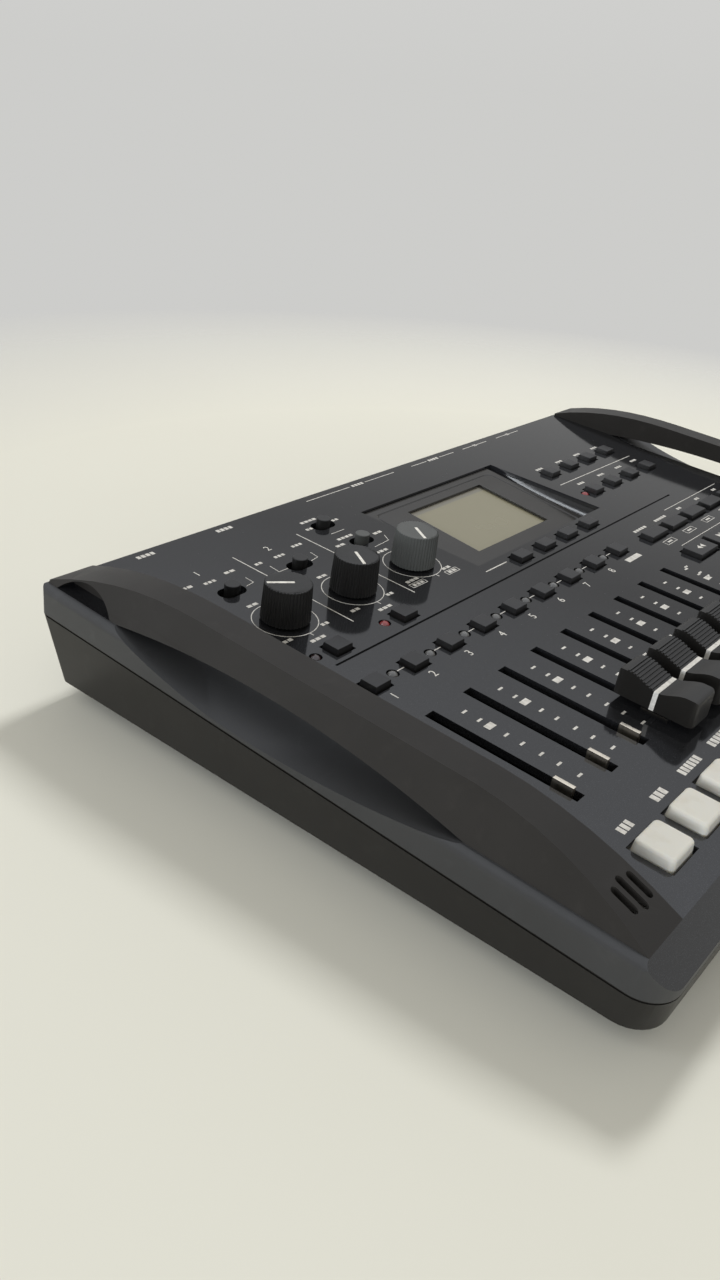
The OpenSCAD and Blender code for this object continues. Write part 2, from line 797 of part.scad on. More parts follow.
module display_module() {
    y0 = lcd_y - lcd_rim;
    y1 = lcd_y + lcd_d + lcd_rim;
    lower = window_t + seat_gap;
    color("#7f8068") place() along_u(lcd_x - lcd_rim, lcd_x + lcd_w + lcd_rim) polygon([
        [y0, panel_h - window_drop(y0) - lower], [y1, panel_h - window_drop(y1) - lower],
        [y1, panel_h - window_drop(y1) - lower - lcd_t], [y0, panel_h - window_drop(y0) - lower - lcd_t]]);
}

module panel_board() {
    color("#24552f") place() {
        translate([board_left, board_front, board_top - board_t])
            cube([board_right - board_left, board_back - board_front, board_t]);
        block(switch_spots[3][0], board_back + tongue_d / 2, board_top - board_t, tongue_w, tongue_d,
            board_top);
        for (s = concat(key_spots, pad_spots)) block(s[0], s[1], board_top, tact_w, tact_w, tact_top);
        for (p = switch_spots)
            block(p[0], p[1], board_top, switch_body[0], switch_body[1], switch_top);
        difference() {
            union() {
                block(dial_x, dial_y, board_top, encoder_w, encoder_w, flange_top);
                peg(dial_x, dial_y, board_top, knob_bush_r, panel_h + knob_bush_proud);
            }
            peg(dial_x, dial_y, board_top + shaft_foot, shaft_r + shaft_gap, big);
        }
    }
}

module main_board() {
    color("#2a5a38") place() {
        translate([board_left, main_front, main_bottom])
            cube([board_right - board_left, main_back - main_front, board_t]);
        translate([arm_left, main_back - over, main_bottom])
            cube([board_right - arm_left, arm_back - main_back + over, board_t]);
        for (p = chip_spots)
            block(p[0], p[1], main_top, chip_size[0], chip_size[1], main_top + chip_size[2]);
        difference() {
            block(card_x, main_front - card_out + card_size[1] / 2, main_top, card_size[0], card_size[1],
                main_top + card_size[2]);
            translate([card_x, main_front - card_out, main_top + card_size[2] / 2])
                block(0, 0, -card_mouth[1] / 2, card_mouth[0], 2 * (card_size[1] - wall),
                    card_mouth[1] / 2);
        }
        difference() {
            block(usb_x, arm_back + arm_out - usb_size[1] / 2, main_top, usb_size[0], usb_size[1],
                main_top + usb_size[2]);
            translate([usb_x, arm_back + arm_out, main_top + usb_size[2] / 2])
                block(0, 0, -usb_mouth[1] / 2, usb_mouth[0], usb_size[1], usb_mouth[1] / 2);
        }
        difference() {
            block(dc_x, arm_back + arm_out - dc_size[1] / 2, main_top, dc_size[0], dc_size[1],
                main_top + dc_size[2]);
            translate([0, arm_back + arm_out, main_top + dc_size[2] / 2]) difference() {
                rear_peg(dc_x, 0, wall - dc_size[1], dc_r, over);
                rear_peg(dc_x, 0, -dc_size[1], dc_pin_r, -over);
            }
        }
        block(power_x, arm_back + arm_out - power_body[1] / 2, main_top, power_body[0], power_body[1],
            main_top + power_body[2]);
    }
}

module fader_bodies() {
    color("#5c5c5e") place() for (i = [0 : fader_count - 1]) difference() {
        block(fader_x(i), slot_front + slot_len / 2, board_top, body_w, slot_len + 2 * body_end, body_top);
        block(fader_x(i), slot_front + slot_len / 2, board_top + track_floor, track_w, slot_len + 2 * over,
            body_top - track_floor);
        block(fader_x(i), slot_front + slot_len / 2, board_top + track_floor, lever_t + 2 * move_gap,
            slot_len, body_top + over);
    }
}

// One fader: the lever on its carriage and, where it still has one, the cap
module fader(i) {
    x = fader_x(i);
    foot = panel_h + cap_gap;
    half = cap_l / 2;
    shoulder = foot + cap_h - cap_corner[1];
    flat = half - cap_corner[0];
    chord = 2 * (flat - cap_rim);
    saddle_r = (pow(chord / 2, 2) + pow(cap_saddle, 2)) / (2 * cap_saddle);
    color("#b9b4a8") place() {
        block(x, lever_y, carriage_z, track_w - 2 * seat_gap, carriage_l, carriage_z + carriage_h);
        block(x, lever_y, carriage_z, lever_t, lever_l, panel_h + lever_proud);
    }
    if (i >= bare_levers) color("#222222") place() difference() {
        union() {
            along_u(x - cap_w / 2, x + cap_w / 2) polygon([[lever_y - half, foot], [lever_y + half, foot],
                [lever_y + half, shoulder], [lever_y + flat, foot + cap_h], [lever_y - flat, foot + cap_h],
                [lever_y - half, shoulder]]);
            block(x, lever_y, panel_h + boss_gap, lever_t + 2 * boss_wall, lever_l + 2 * boss_wall,
                foot + skin);
        }
        translate([x - cap_w, lever_y, foot + cap_h - cap_saddle + saddle_r]) rotate([0, 90, 0])
            cylinder(h = 2 * cap_w, r = saddle_r, $fn = 96);
        block(x, lever_y, panel_h, lever_t + 2 * shaft_gap, lever_l + 2 * shaft_gap,
            panel_h + lever_proud + seat_gap);
    }
}

module fader_1() { fader(0); }
module fader_2() { fader(1); }
module fader_3() { fader(2); }
module fader_4() { fader(3); }
module fader_5() { fader(4); }
module fader_6() { fader(5); }
module fader_7() { fader(6); }
module fader_8() { fader(7); }
module master_fader() { fader(8); }

module pot_bodies() {
    color("#6a6a6c") place() for (i = [0 : 2]) difference() {
        union() {
            block(knob_x(i), knob_y, board_top, pot_w, pot_w, flange_top);
            peg(knob_x(i), knob_y, board_top, knob_bush_r, panel_h + knob_bush_proud);
        }
        peg(knob_x(i), knob_y, board_top + shaft_foot, shaft_r + shaft_gap, big);
    }
}

// One knob on its shaft, with the groove of its pointer turned to an angle from the back
module knob(i, turn) {
    color(i < 2 ? "#1d1d1e" : "#55585a") place() translate([knob_x(i), knob_y, 0]) {
        difference() {
            translate([0, 0, panel_h + knob_foot])
                cylinder(h = knob_proud - knob_foot, r1 = knob_r, r2 = knob_top_r);
            peg(0, 0, panel_h, shaft_r + shaft_gap, panel_h + knob_proud - knob_roof);
            rotate([0, 0, -turn]) translate([0, (pointer_tip - pointer_tail) / 2, panel_h + knob_proud])
                block(0, 0, -pointer_h, pointer_w, pointer_tip + pointer_tail, over);
        }
        peg(0, 0, board_top + shaft_foot + seat_gap, shaft_r, panel_h + knob_proud - knob_roof - seat_gap);
    }
}

module input_knob_1() { knob(0, pointer_turn[0]); }
module input_knob_2() { knob(1, pointer_turn[1]); }
module master_knob() { knob(2, pointer_turn[2]); }

module jog_dial() {
    color("#2a2a2c") place() difference() {
        union() {
            peg(dial_x, dial_y, board_top + shaft_foot + seat_gap, shaft_r, panel_h + dial_proud);
            peg(dial_x, dial_y, panel_h + knob_foot, dial_r, panel_h + dial_proud);
        }
        peg(dial_x, dial_y + dial_r - dimple_in, panel_h + dial_proud - dimple_h, dimple_r, big);
    }
}

// One slide switch, with the stub in the middle of its slot
module stub(k) {
    color(k == 2 ? "#66696b" : "#1d1d1e") place() {
        block(switch_spots[k][0], switch_spots[k][1], switch_top + seat_gap, switch_plate[0],
            switch_plate[1], switch_top + seat_gap + switch_plate[2]);
        peg(switch_spots[k][0], switch_spots[k][1], switch_top + seat_gap, stub_r,
            panel_h + stub_proud);
    }
}

module input_switch_1() { stub(0); }
module input_switch_2() { stub(1); }
module monitor_switch() { stub(2); }
module supply_switch() { stub(3); }

// One drum pad
module pad(i) {
    color("#e4e2d8") place() key(pad_spots[i], pad_proud);
}

module pad_1() { pad(0); }
module pad_2() { pad(1); }
module pad_3() { pad(2); }
module pad_4() { pad(3); }
module pad_5() { pad(4); }
module pad_6() { pad(5); }
module pad_7() { pad(6); }
module pad_8() { pad(7); }

// A set of keys that share a node
module keys(spots) {
    color("#2b2b2d") place() for (s = spots) key(s, key_proud);
}

module status_key_1() { keys([status_spots[0]]); }
module status_key_2() { keys([status_spots[1]]); }
module status_key_3() { keys([status_spots[2]]); }
module status_key_4() { keys([status_spots[3]]); }
module status_key_5() { keys([status_spots[4]]); }
module status_key_6() { keys([status_spots[5]]); }
module status_key_7() { keys([status_spots[6]]); }
module status_key_8() { keys([status_spots[7]]); }
module status_key_9() { keys([status_spots[8]]); }
module input_key_1() { keys([input_spots[0]]); }
module input_key_2() { keys([input_spots[1]]); }
module soft_keys() { keys(soft_spots); }
module function_keys() { keys(function_spots); }
module edit_keys() { keys(edit_spots); }
module transport_keys() { keys(transport_spots); }
module cursor_keys() { keys(cursor_spots); }

module indicator_lamps() {
    color("#b86a62") place() for (p = lamp_spots) {
        peg(p[0], p[1], board_top, lamp_r, panel_h + lamp_proud - lamp_r);
        translate([p[0], p[1], panel_h + lamp_proud - lamp_r]) sphere(r = lamp_r);
    }
}

module battery_contacts() {
    color("#c9c6bd") place() for (x = [bay_x + contact_gap, bay_x + bay_l - contact_gap - contact_t],
        y = [bay_y + bay_w / 4, bay_y + 3 * bay_w / 4])
        block(x + contact_t / 2, y, bay_roof - bay_roof_t - contact_top - contact_h, contact_t, contact_w,
            bay_roof - bay_roof_t - contact_top);
}

module rear_jacks() {
    color("#18181a") place() {
        for (x = combo_x) difference() {
            rear_peg(x, -socket_drop, rear_face - jack_len, combo_r, rear_face);
            rear_peg(x, -socket_drop, rear_face - plug_depth, plug_r, case_d);
            for (a = [90, 210, 330])
                rear_peg(x + combo_pin_ring * cos(a), -socket_drop + combo_pin_ring * sin(a),
                    rear_face - plug_depth + wall, combo_pin_r, case_d);
        }
        block((plug_x[0] + plug_x[2]) / 2, jack_mid, -socket_drop - jack_h / 2 - board_t,
            plug_x[2] - plug_x[0] + jack_w, jack_d, -socket_drop - jack_h / 2);
        for (x = plug_x) difference() {
            union() {
                block(x, jack_mid, -socket_drop - jack_h / 2, jack_w, jack_d, -socket_drop + jack_h / 2);
                rear_peg(x, -socket_drop, jack_mid, jack_nose_r, nose_face);
            }
            rear_peg(x, -socket_drop, nose_face - plug_depth, plug_r, case_d);
        }
        difference() {
            block(phones_x, jack_mid, -socket_drop - jack_h / 2, phones_body, jack_d - 2 * wall,
                -socket_drop + phones_body / 2);
            rear_peg(phones_x, -socket_drop, jack_mid - wall, phones_shaft_r + shaft_gap, case_d);
        }
    }
}

module phones_knob() {
    color("#1d1d1e") place() {
        rear_peg(phones_x, -socket_drop, nose_face - phones_l, phones_r, nose_face);
        rear_peg(phones_x, -socket_drop, jack_mid - wall + seat_gap, phones_shaft_r, nose_face);
    }
}

module power_switch() {
    foot = arm_back + arm_out + seat_gap;
    color("#2b2b2d") place() translate([power_x - power_travel / 2, 0, main_top + power_body[2] / 2])
        block(0, (foot + nose_face) / 2, -power_knob[1] / 2, power_knob[0], nose_face - foot,
            power_knob[1] / 2);
}

upper_case();
lower_case();
left_rail();
right_rail();
display_window();
display_module();
main_board();
panel_board();
fader_bodies();
pot_bodies();
rear_jacks();
indicator_lamps();
battery_contacts();
feet();
case_screws();
microphones();
battery_door();
input_knob_1();
input_knob_2();
master_knob();
phones_knob();
jog_dial();
power_switch();
input_switch_1();
input_switch_2();
monitor_switch();
supply_switch();
fader_1();
fader_2();
fader_3();
fader_4();
fader_5();
fader_6();
fader_7();
fader_8();
master_fader();
pad_1();
pad_2();
pad_3();
pad_4();
pad_5();
pad_6();
pad_7();
pad_8();
status_key_1();
status_key_2();
status_key_3();
status_key_4();
status_key_5();
status_key_6();
status_key_7();
status_key_8();
status_key_9();
input_key_1();
input_key_2();
soft_keys();
function_keys();
edit_keys();
transport_keys();
cursor_keys();
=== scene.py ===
# %% [markdown]
# # A compact digital multitrack recorder
# The recorder arrives as a packed frame: sixty solids that already have their sizes, places and
# joints. This lesson dresses that frame. Solids with the right shape are copied and get the small
# rounded edges of moulded parts, a few are modelled again with more detail, and all of them get
# procedural finishes.

# %% Load the frame
import json
import math

import bmesh
import bpy
from mathutils import Matrix, Vector


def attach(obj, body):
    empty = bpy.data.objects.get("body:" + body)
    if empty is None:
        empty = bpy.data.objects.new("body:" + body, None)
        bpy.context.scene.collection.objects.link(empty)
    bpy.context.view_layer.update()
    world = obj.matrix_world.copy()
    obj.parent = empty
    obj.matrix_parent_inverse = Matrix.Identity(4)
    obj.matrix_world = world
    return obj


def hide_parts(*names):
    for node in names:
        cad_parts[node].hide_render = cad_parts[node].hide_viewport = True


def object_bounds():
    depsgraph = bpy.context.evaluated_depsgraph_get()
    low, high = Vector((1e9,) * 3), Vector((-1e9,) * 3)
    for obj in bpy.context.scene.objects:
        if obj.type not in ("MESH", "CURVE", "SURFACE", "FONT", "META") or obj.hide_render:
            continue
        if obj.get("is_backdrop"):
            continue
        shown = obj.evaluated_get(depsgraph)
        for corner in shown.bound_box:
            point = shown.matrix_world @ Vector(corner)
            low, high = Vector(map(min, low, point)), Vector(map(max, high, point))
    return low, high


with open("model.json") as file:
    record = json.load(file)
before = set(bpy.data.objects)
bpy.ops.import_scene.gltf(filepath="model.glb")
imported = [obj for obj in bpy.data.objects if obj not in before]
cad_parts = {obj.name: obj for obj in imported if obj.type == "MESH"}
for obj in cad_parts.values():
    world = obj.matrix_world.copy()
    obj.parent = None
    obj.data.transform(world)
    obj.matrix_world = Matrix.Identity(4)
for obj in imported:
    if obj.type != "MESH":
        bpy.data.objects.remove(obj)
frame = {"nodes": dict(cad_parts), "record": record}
solids = frame["nodes"]
cad_box = [list(corner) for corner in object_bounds()]

# %% [markdown]
# ## Panel millimetres
# Everything on the recorder is laid out on its sloping control panel, so that is the handiest
# drawing board. The jog dial turns about the panel's normal, which gives the slope without
# measuring it. From it come three directions: u to the right, v to the back and w up out of the
# panel, in millimetres from the front left corner of the upper case. PANEL turns such a place into
# the frame's metres.


# %% Panel directions
def span(places):
    """Lowest and highest corner of some places."""
    columns = list(zip(*places))
    return Vector(map(min, columns)), Vector(map(max, columns))


turns = {joint["name"]: joint for joint in frame["record"]["behaviour"]["joints"]}
UP = Vector(turns["jog_dial_turn"]["axis"]).normalized()
SIDE = Vector((1, 0, 0))
BACK = UP.cross(SIDE)
AXES = Matrix((SIDE, BACK, UP)).transposed()
case_places = [AXES.transposed() @ point.co for point in solids["upper_case"].data.vertices]
case_low, case_high = span(case_places)
PANEL = Matrix.Translation(AXES @ case_low) @ AXES.to_4x4() @ Matrix.Scale(0.001, 4)
TO_PANEL = PANEL.inverted()
WIDTH, DEPTH, TOP = (case_high - case_low) * 1000


def spot(node):
    """Lowest and highest corner of a solid in panel millimetres."""
    return span([TO_PANEL @ point.co for point in solids[node].data.vertices])


def middle_of(node):
    """Middle of a solid in panel millimetres."""
    low, high = spot(node)
    return (low + high) / 2


print("panel:", round(WIDTH, 2), "by", round(DEPTH, 2), "mm, top at", round(TOP, 2))

# %% [markdown]
# ## Where the camera stands
# The photograph was taken upright, close to the left front corner and with a wide lens. The
# numbers come from fitting a pinhole camera to rows that must be straight on the panel: fader
# slots, pads and keys. They are written down here, because a fitted camera has no shorter
# description.

# %% Camera
view = bpy.data.cameras.new("view")
view.lens, view.sensor_width = 29.398, 36
eye = bpy.data.objects.new("view", view)
eye.location = (-0.27557, -0.12259, 0.15297)
eye.rotation_euler = [math.radians(turn) for turn in (61.580, -4.615, -50.021)]
bpy.context.collection.objects.link(eye)
scene = bpy.context.scene
scene.camera = eye
scene.view_settings.view_transform = "Standard"
print("camera at", [round(c, 3) for c in eye.location])

# %% [markdown]
# ## Writing finishes as expressions
# A shader is easier to read as a formula than as a net of nodes. Wire wraps an output socket, so
# that ordinary operators add the Math nodes. Net holds a tree, and its node method adds every other
# kind of node. Finish is the net of one material with its Principled shader. All patterns read
# Object coordinates: the pieces sit at the origin, so a pattern stays on the piece when it moves.


# %% Wires and finishes
class Wire:
    """An output socket on which arithmetic adds Math nodes."""

    def __init__(self, net, socket):
        self.net, self.socket = net, socket

    def beside(self, output):
        """Another output of the same node."""
        return Wire(self.net, self.socket.node.outputs[output])

    def maths(self, kind, first, second):
        """A Math node on two values, wires or plain numbers."""
        return self.net.node("ShaderNodeMath", {"operation": kind}, {0: first, 1: second})

    def most(self, other):
        """The larger of two values."""
        return self.maths("MAXIMUM", self, other)

    def __add__(self, other):
        return self.maths("ADD", self, other)

    def __sub__(self, other):
        return self.maths("SUBTRACT", self, other)

    def __rsub__(self, other):
        return self.maths("SUBTRACT", other, self)

    def __mul__(self, other):
        return self.maths("MULTIPLY", self, other)

    __radd__, __rmul__ = __add__, __mul__


class Net:
    """A tree of shader nodes."""

    def __init__(self, tree):
        self.tree = tree

    def node(self, kind, settings={}, sockets={}, output=0):
        """Adds a node: its settings first, then the values or wires of its sockets."""
        made = self.tree.nodes.new(kind)
        for setting, value in settings.items():
            if setting == "stops":
                for number, (where, colour) in enumerate(value):
                    if number > 1:
                        made.color_ramp.elements.new(where)
                    made.color_ramp.elements[number].position = where
                    made.color_ramp.elements[number].color = (*colour, 1)
            else:
                setattr(made, setting, value)
        for socket, value in sockets.items():
            if isinstance(value, Wire):
                self.tree.links.new(value.socket, made.inputs[socket])
            else:
                made.inputs[socket].default_value = value
        return Wire(self, made.outputs[output])

    def feed(self, name, socket, wire):
        """Links a wire to a node that the tree already has."""
        self.tree.links.new(wire.socket, self.tree.nodes[name].inputs[socket])


class Finish(Net):
    """One material: constants go straight onto the shader, patterns are fed to it."""

    def __init__(self, name, constants):
        self.material = bpy.data.materials.new(name)
        self.material.use_nodes = True
        super().__init__(self.material.node_tree)
        for socket, value in constants.items():
            self.tree.nodes["Principled BSDF"].inputs[socket].default_value = value
        self.place = self.node("ShaderNodeTexCoord", output="Object")

    def vary(self, socket, wire):
        """Feeds a pattern to the Principled shader."""
        self.feed("Principled BSDF", socket, wire)

    def noise(self, size, detail=2.0, stretch=(1, 1, 1)):
        """Soft random pattern with features of about size millimetres."""
        turned = self.node("ShaderNodeMapping", {}, {"Vector": self.place, "Scale": stretch})
        return self.node("ShaderNodeTexNoise", {},
                         {"Vector": turned, "Scale": 1000 / size, "Detail": detail})

    def level(self, wire, low, high):
        """Takes the part of a pattern between two values to the range 0 to 1, clamped."""
        return self.node("ShaderNodeMapRange", {}, {0: wire, 1: low, 2: high})

    def along(self, direction):
        """How far a place lies along a direction, in metres."""
        return self.node("ShaderNodeVectorMath", {"operation": "DOT_PRODUCT"},
                         {0: self.place, 1: direction}, 1)

    def blend(self, amount, first, second):
        """Mixes two colours."""
        return self.node("ShaderNodeMix", {"data_type": "RGBA"},
                         {0: amount, 6: first, 7: second}, 2)

    def relief(self, height, depth):
        """Raises or sinks the surface by up to depth millimetres of a pattern."""
        return self.node("ShaderNodeBump", {},
                         {"Strength": 1.0, "Distance": depth / 1000, "Height": height})


print("a finish has:", ", ".join(name for name in vars(Finish) if not name.startswith("_")))

# %% [markdown]
# ## Lacquered panel and moulded plastics
# The upper case is moulded plastic under a glossy, almost black lacquer with a fine metal fleck.
# From low down it mirrors the pale room, and that reflection, not its own colour, makes it look
# grey. So the base stays very dark, and the roughness is low with broad smears where hands have
# polished it. All other mouldings are bare plastic: the grain of the mould is a fine bump, and
# places that are often touched are a little lighter and smoother.


# %% Lacquer and moulded plastics
def tint(colour, share):
    """The same colour, lighter or darker, with alpha."""
    return (*[part * share for part in colour], 1)


def lacquer(name, colour, gloss):
    """Glossy lacquer: metal fleck, smears of hands and a few grains of dust."""
    finish = Finish(name, {"IOR": 1.5})
    fleck = finish.level(finish.noise(0.22, 1), 0.52, 0.8)
    finish.vary("Base Color", finish.blend(fleck, tint(colour, 0.85), tint(colour, 2.2)))
    smear = finish.noise(26, 4, (1, 2.4, 1))
    dust = finish.level(finish.noise(0.7, 1), 0.74, 0.82)
    finish.vary("Roughness", gloss + 0.05 * smear + 0.25 * dust)
    finish.vary("Normal", finish.relief(finish.noise(2.2, 2), 0.002))
    return finish


def plastic(name, colour, rough, grain, depth, **constants):
    """Moulded plastic; grain and depth are the size and height of its mould grain in mm."""
    finish = Finish(name, constants)
    drift = finish.noise(14, 4)
    rubbed = finish.level(finish.noise(5, 6), 0.6, 0.78)
    body = finish.blend(drift, tint(colour, 0.82), tint(colour, 1.2))
    finish.vary("Base Color", finish.blend(rubbed * 0.3, body, tint(colour, 1.7)))
    finish.vary("Roughness", rough - 0.05 + 0.1 * finish.noise(8, 5) - 0.06 * rubbed)
    finish.vary("Normal", finish.relief(finish.noise(grain, 3), depth))
    return finish


DULL = {"Specular IOR Level": 0.2}
panel_lacquer = lacquer("panel_lacquer", (0.0165, 0.0175, 0.0205), 0.06)
side_plastic = plastic("side_plastic", (0.026, 0.027, 0.029), 0.5, 0.5, 0.010)
lower_case_plastic = plastic("lower_case_plastic", (0.015, 0.0143, 0.0135), 0.34, 0.5, 0.010,
                             **DULL)
rail_plastic = plastic("rail_plastic", (0.0215, 0.0203, 0.0193), 0.45, 0.35, 0.016, **DULL)
black_plastic = plastic("black_plastic", (0.008, 0.008, 0.008), 0.42, 0.4, 0.010)
key_plastic = plastic("key_plastic", (0.010, 0.010, 0.011), 0.36, 0.3, 0.008)
cap_plastic = plastic("cap_plastic", (0.0085, 0.008, 0.0074), 0.44, 0.3, 0.014)
grey_plastic = plastic("grey_plastic", (0.075, 0.08, 0.08), 0.45, 0.35, 0.012)
window_plastic = plastic("window_plastic", (0.028, 0.027, 0.026), 0.16, 3.0, 0.003, IOR=1.49)
foot_rubber = plastic("foot_rubber", (0.02, 0.02, 0.02), 0.75, 0.3, 0.03)
print("lacquer and plastics:", len(bpy.data.materials))

# %% [markdown]
# ## Pads, lamps, metal and print
# The pads are warm white silicone, soft enough to let some light in, so they get a little
# subsurface. Lamps are clear, red or dark resin with a darker middle under a clear coat. The bare
# fader levers are nickel, brushed along their length: a noise that is stretched one way gives the
# streaks. The print is matte white ink, worn unevenly, so a noise takes it towards grey.


# %% Other finishes
def silicone(name, clean, grimy):
    """Soft white pad rubber with grime in broad patches."""
    finish = Finish(name, {"Subsurface Weight": 0.25, "Subsurface Scale": 0.002, "IOR": 1.41,
                           "Subsurface Radius": (1.0, 0.8, 0.55)})
    grime = finish.level(finish.noise(6, 6), 0.5, 0.8)
    finish.vary("Base Color", finish.blend(grime, clean, grimy))
    finish.vary("Roughness", 0.38 + 0.15 * finish.noise(3, 4))
    finish.vary("Normal", finish.relief(finish.noise(0.4, 2), 0.008))
    return finish


def resin(name, rim, core):
    """Unlit lamp resin under a clear coat."""
    finish = Finish(name, {"IOR": 1.52, "Coat Weight": 0.6})
    finish.vary("Base Color", finish.blend(finish.noise(1.6, 2), rim, core))
    finish.vary("Roughness", 0.1 + 0.1 * finish.noise(2, 3))
    return finish


def brushed_metal(name, colour, stretch):
    """Metal with streaks along the direction whose number is smallest."""
    finish = Finish(name, {"Metallic": 1.0})
    streak = finish.noise(0.9, 3, stretch)
    finish.vary("Base Color", finish.blend(streak, tint(colour, 0.72), tint(colour, 1.1)))
    finish.vary("Roughness", 0.2 + 0.2 * streak)
    finish.vary("Normal", finish.relief(streak, 0.004))
    return finish


def ink(name, colour):
    """Matte print, worn thin in places."""
    finish = Finish(name, {"IOR": 1.45})
    worn = finish.level(finish.noise(1.1, 5), 0.38, 0.7)
    finish.vary("Base Color", finish.blend(worn, tint(colour, 1.0), tint(colour, 0.72)))
    finish.vary("Roughness", 0.5 + 0.2 * worn)
    return finish


pad_silicone = silicone("pad_silicone", (0.63, 0.635, 0.61, 1), (0.55, 0.54, 0.49, 1))
clear_resin = resin("clear_resin", (0.16, 0.165, 0.17, 1), (0.05, 0.05, 0.052, 1))
red_resin = resin("red_resin", (0.36, 0.03, 0.03, 1), (0.14, 0.01, 0.012, 1))
dark_resin = resin("dark_resin", (0.03, 0.012, 0.012, 1), (0.015, 0.008, 0.008, 1))
lever_nickel = brushed_metal("lever_nickel", (0.84, 0.77, 0.65), (1, 1, 0.15))
plated_metal = brushed_metal("plated_metal", (0.62, 0.6, 0.56), (0.2, 1, 1))
white_ink = ink("white_ink", (0.70, 0.70, 0.69))
pointer_ink = ink("pointer_ink", (0.85, 0.85, 0.83))
print("finishes so far:", len(bpy.data.materials))

# %% [markdown]
# ## Copying a solid and rounding its edges
# A moulded edge is never sharp: it has a radius of a few tenths, and that radius is what catches
# light. A solid from the frame is loose triangles, so its copy is merged and its flat faces are
# joined first. Then only edges whose faces meet at a clear angle are bevelled, and only where a
# test on their place says so. A Bevel modifier could do it too, but it would need a weight on each
# edge to know where to stop.


# %% Mesh helpers
def copy_of(node):
    """A merged copy of a solid in panel millimetres, its flat faces joined."""
    mesh = bmesh.new()
    mesh.from_mesh(solids[node].data)
    mesh.transform(TO_PANEL)
    bmesh.ops.remove_doubles(mesh, verts=mesh.verts, dist=0.003)
    bmesh.ops.dissolve_limit(mesh, angle_limit=math.radians(0.5), verts=mesh.verts,
                             edges=mesh.edges)
    return mesh


def creases(mesh, angle, where=lambda point: True):
    """Edges whose faces meet at more than an angle, with both ends where the test says."""
    return [edge for edge in mesh.edges
            if len(edge.link_faces) == 2 and edge.calc_face_angle(0) > math.radians(angle)
            and all(where(end.co) for end in edge.verts)]


def soften(mesh, edges, width, segments):
    """Rounds edges by a width in millimetres."""
    bmesh.ops.bevel(mesh, geom=edges, offset=width, offset_type="OFFSET", affect="EDGES",
                    segments=segments, profile=0.5, material=-1, clamp_overlap=True)


def piece(name, mesh, body, finishes, replaces=()):
    """Turns a mesh in panel millimetres into a finished piece that rides on a body."""
    mesh.transform(PANEL)
    data = bpy.data.meshes.new(name)
    mesh.to_mesh(data)
    mesh.free()
    if "custom_normal" in data.attributes:
        data.attributes.remove(data.attributes["custom_normal"])
    data.shade_smooth()
    data.set_sharp_from_angle(angle=math.radians(38))
    for finish in finishes:
        data.materials.append(finish.material)
    made = bpy.data.objects.new(name, data)
    bpy.context.collection.objects.link(made)
    made.modifiers.new("even_shading", "WEIGHTED_NORMAL").keep_sharp = True
    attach(made, body)
    if replaces:
        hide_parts(*replaces)
    print(name, "faces:", len(data.polygons))


def softened(node, body, finish, width, segments, where=lambda point: True):
    """A solid's copy with rounded edges, standing in for the solid."""
    mesh = copy_of(node)
    soften(mesh, creases(mesh, 40, where), width, segments)
    piece(node + "_moulded", mesh, body, [finish], [node])


print("upper case as packed:", len(solids["upper_case"].data.polygons), "triangles")

# %% [markdown]
# ## Upper case
# The upper case is one moulding with the control panel on top and a shallow scoop for the fingers
# under each rail. It gets its radius only on the outside: the front lip, the sides and the back.
# The holes for keys stay crisp, as cut holes in a lacquered sheet are. The scoops bend up to the
# panel softly at both ends, so those slanting edges get a far wider bevel first. Lacquer covers the
# panel and the front lip while the sides are bare plastic, so a face takes its finish by its place.


# %% Outer edges of the upper case
EDGE_IN, FRONT_LIP, BACK_LIP, FOOT_CLEAR = 20.4, 6.4, 0.8, 0.6
ON_SIDE, SCOOP_FOOT, SCOOP_REACH = 0.5, (0.5, 1.5), 15
CASE_MIDDLE = Vector((WIDTH / 2, DEPTH / 2, 0))


def outside(point):
    """True on the outer shell of the upper case, away from the field of controls."""
    field = EDGE_IN < point.x < WIDTH - EDGE_IN and FRONT_LIP < point.y < DEPTH - BACK_LIP
    return not field and point.z > FOOT_CLEAR


def scoop_ends(mesh):
    """The slanting edges where the finger scoops bend up to the panel at both ends."""
    found = []
    for edge in mesh.edges:
        low, high = sorted((end.co for end in edge.verts), key=lambda point: point.z)
        low_in, high_in = [min(point.x, WIDTH - point.x) for point in (low, high)]
        rises = SCOOP_FOOT[0] < low.z < SCOOP_FOOT[1] and high.z > TOP - 0.1
        if rises and low_in < ON_SIDE and high_in > SCOOP_REACH:
            found.append(edge)
    print("scoop ends:", len(found))
    return found


def seam(mesh):
    """Outer edges of the upper case where it meets the lower case."""
    found = []
    for edge in creases(mesh, 40, lambda point: abs(point.z) < 0.05):
        away = edge.verts[0].co - CASE_MIDDLE
        if any(abs(face.normal.z) < 0.5 and face.normal.dot(away) > 0 for face in edge.link_faces):
            found.append(edge)
    print("seam edges:", len(found))
    return found


print("middle of the case:", [round(part, 1) for part in CASE_MIDDLE])

# %% Upper case
SCOOP_BEND, OUTER_ROUND, SEAM_ROUND = 9.0, 0.35, 0.15
upper = copy_of("upper_case")
soften(upper, scoop_ends(upper), SCOOP_BEND, 6)
soften(upper, creases(upper, 20, outside), OUTER_ROUND, 3)
soften(upper, seam(upper), SEAM_ROUND, 1)
for face in upper.faces:
    place = face.calc_center_median()
    lip = place.y < FRONT_LIP and face.normal.z > 0.3
    field = EDGE_IN < place.x < WIDTH - EDGE_IN and place.y > FRONT_LIP
    face.material_index = int(not (lip or field))
piece("upper_case_moulded", upper, "base", [panel_lacquer, side_plastic], ["upper_case"])

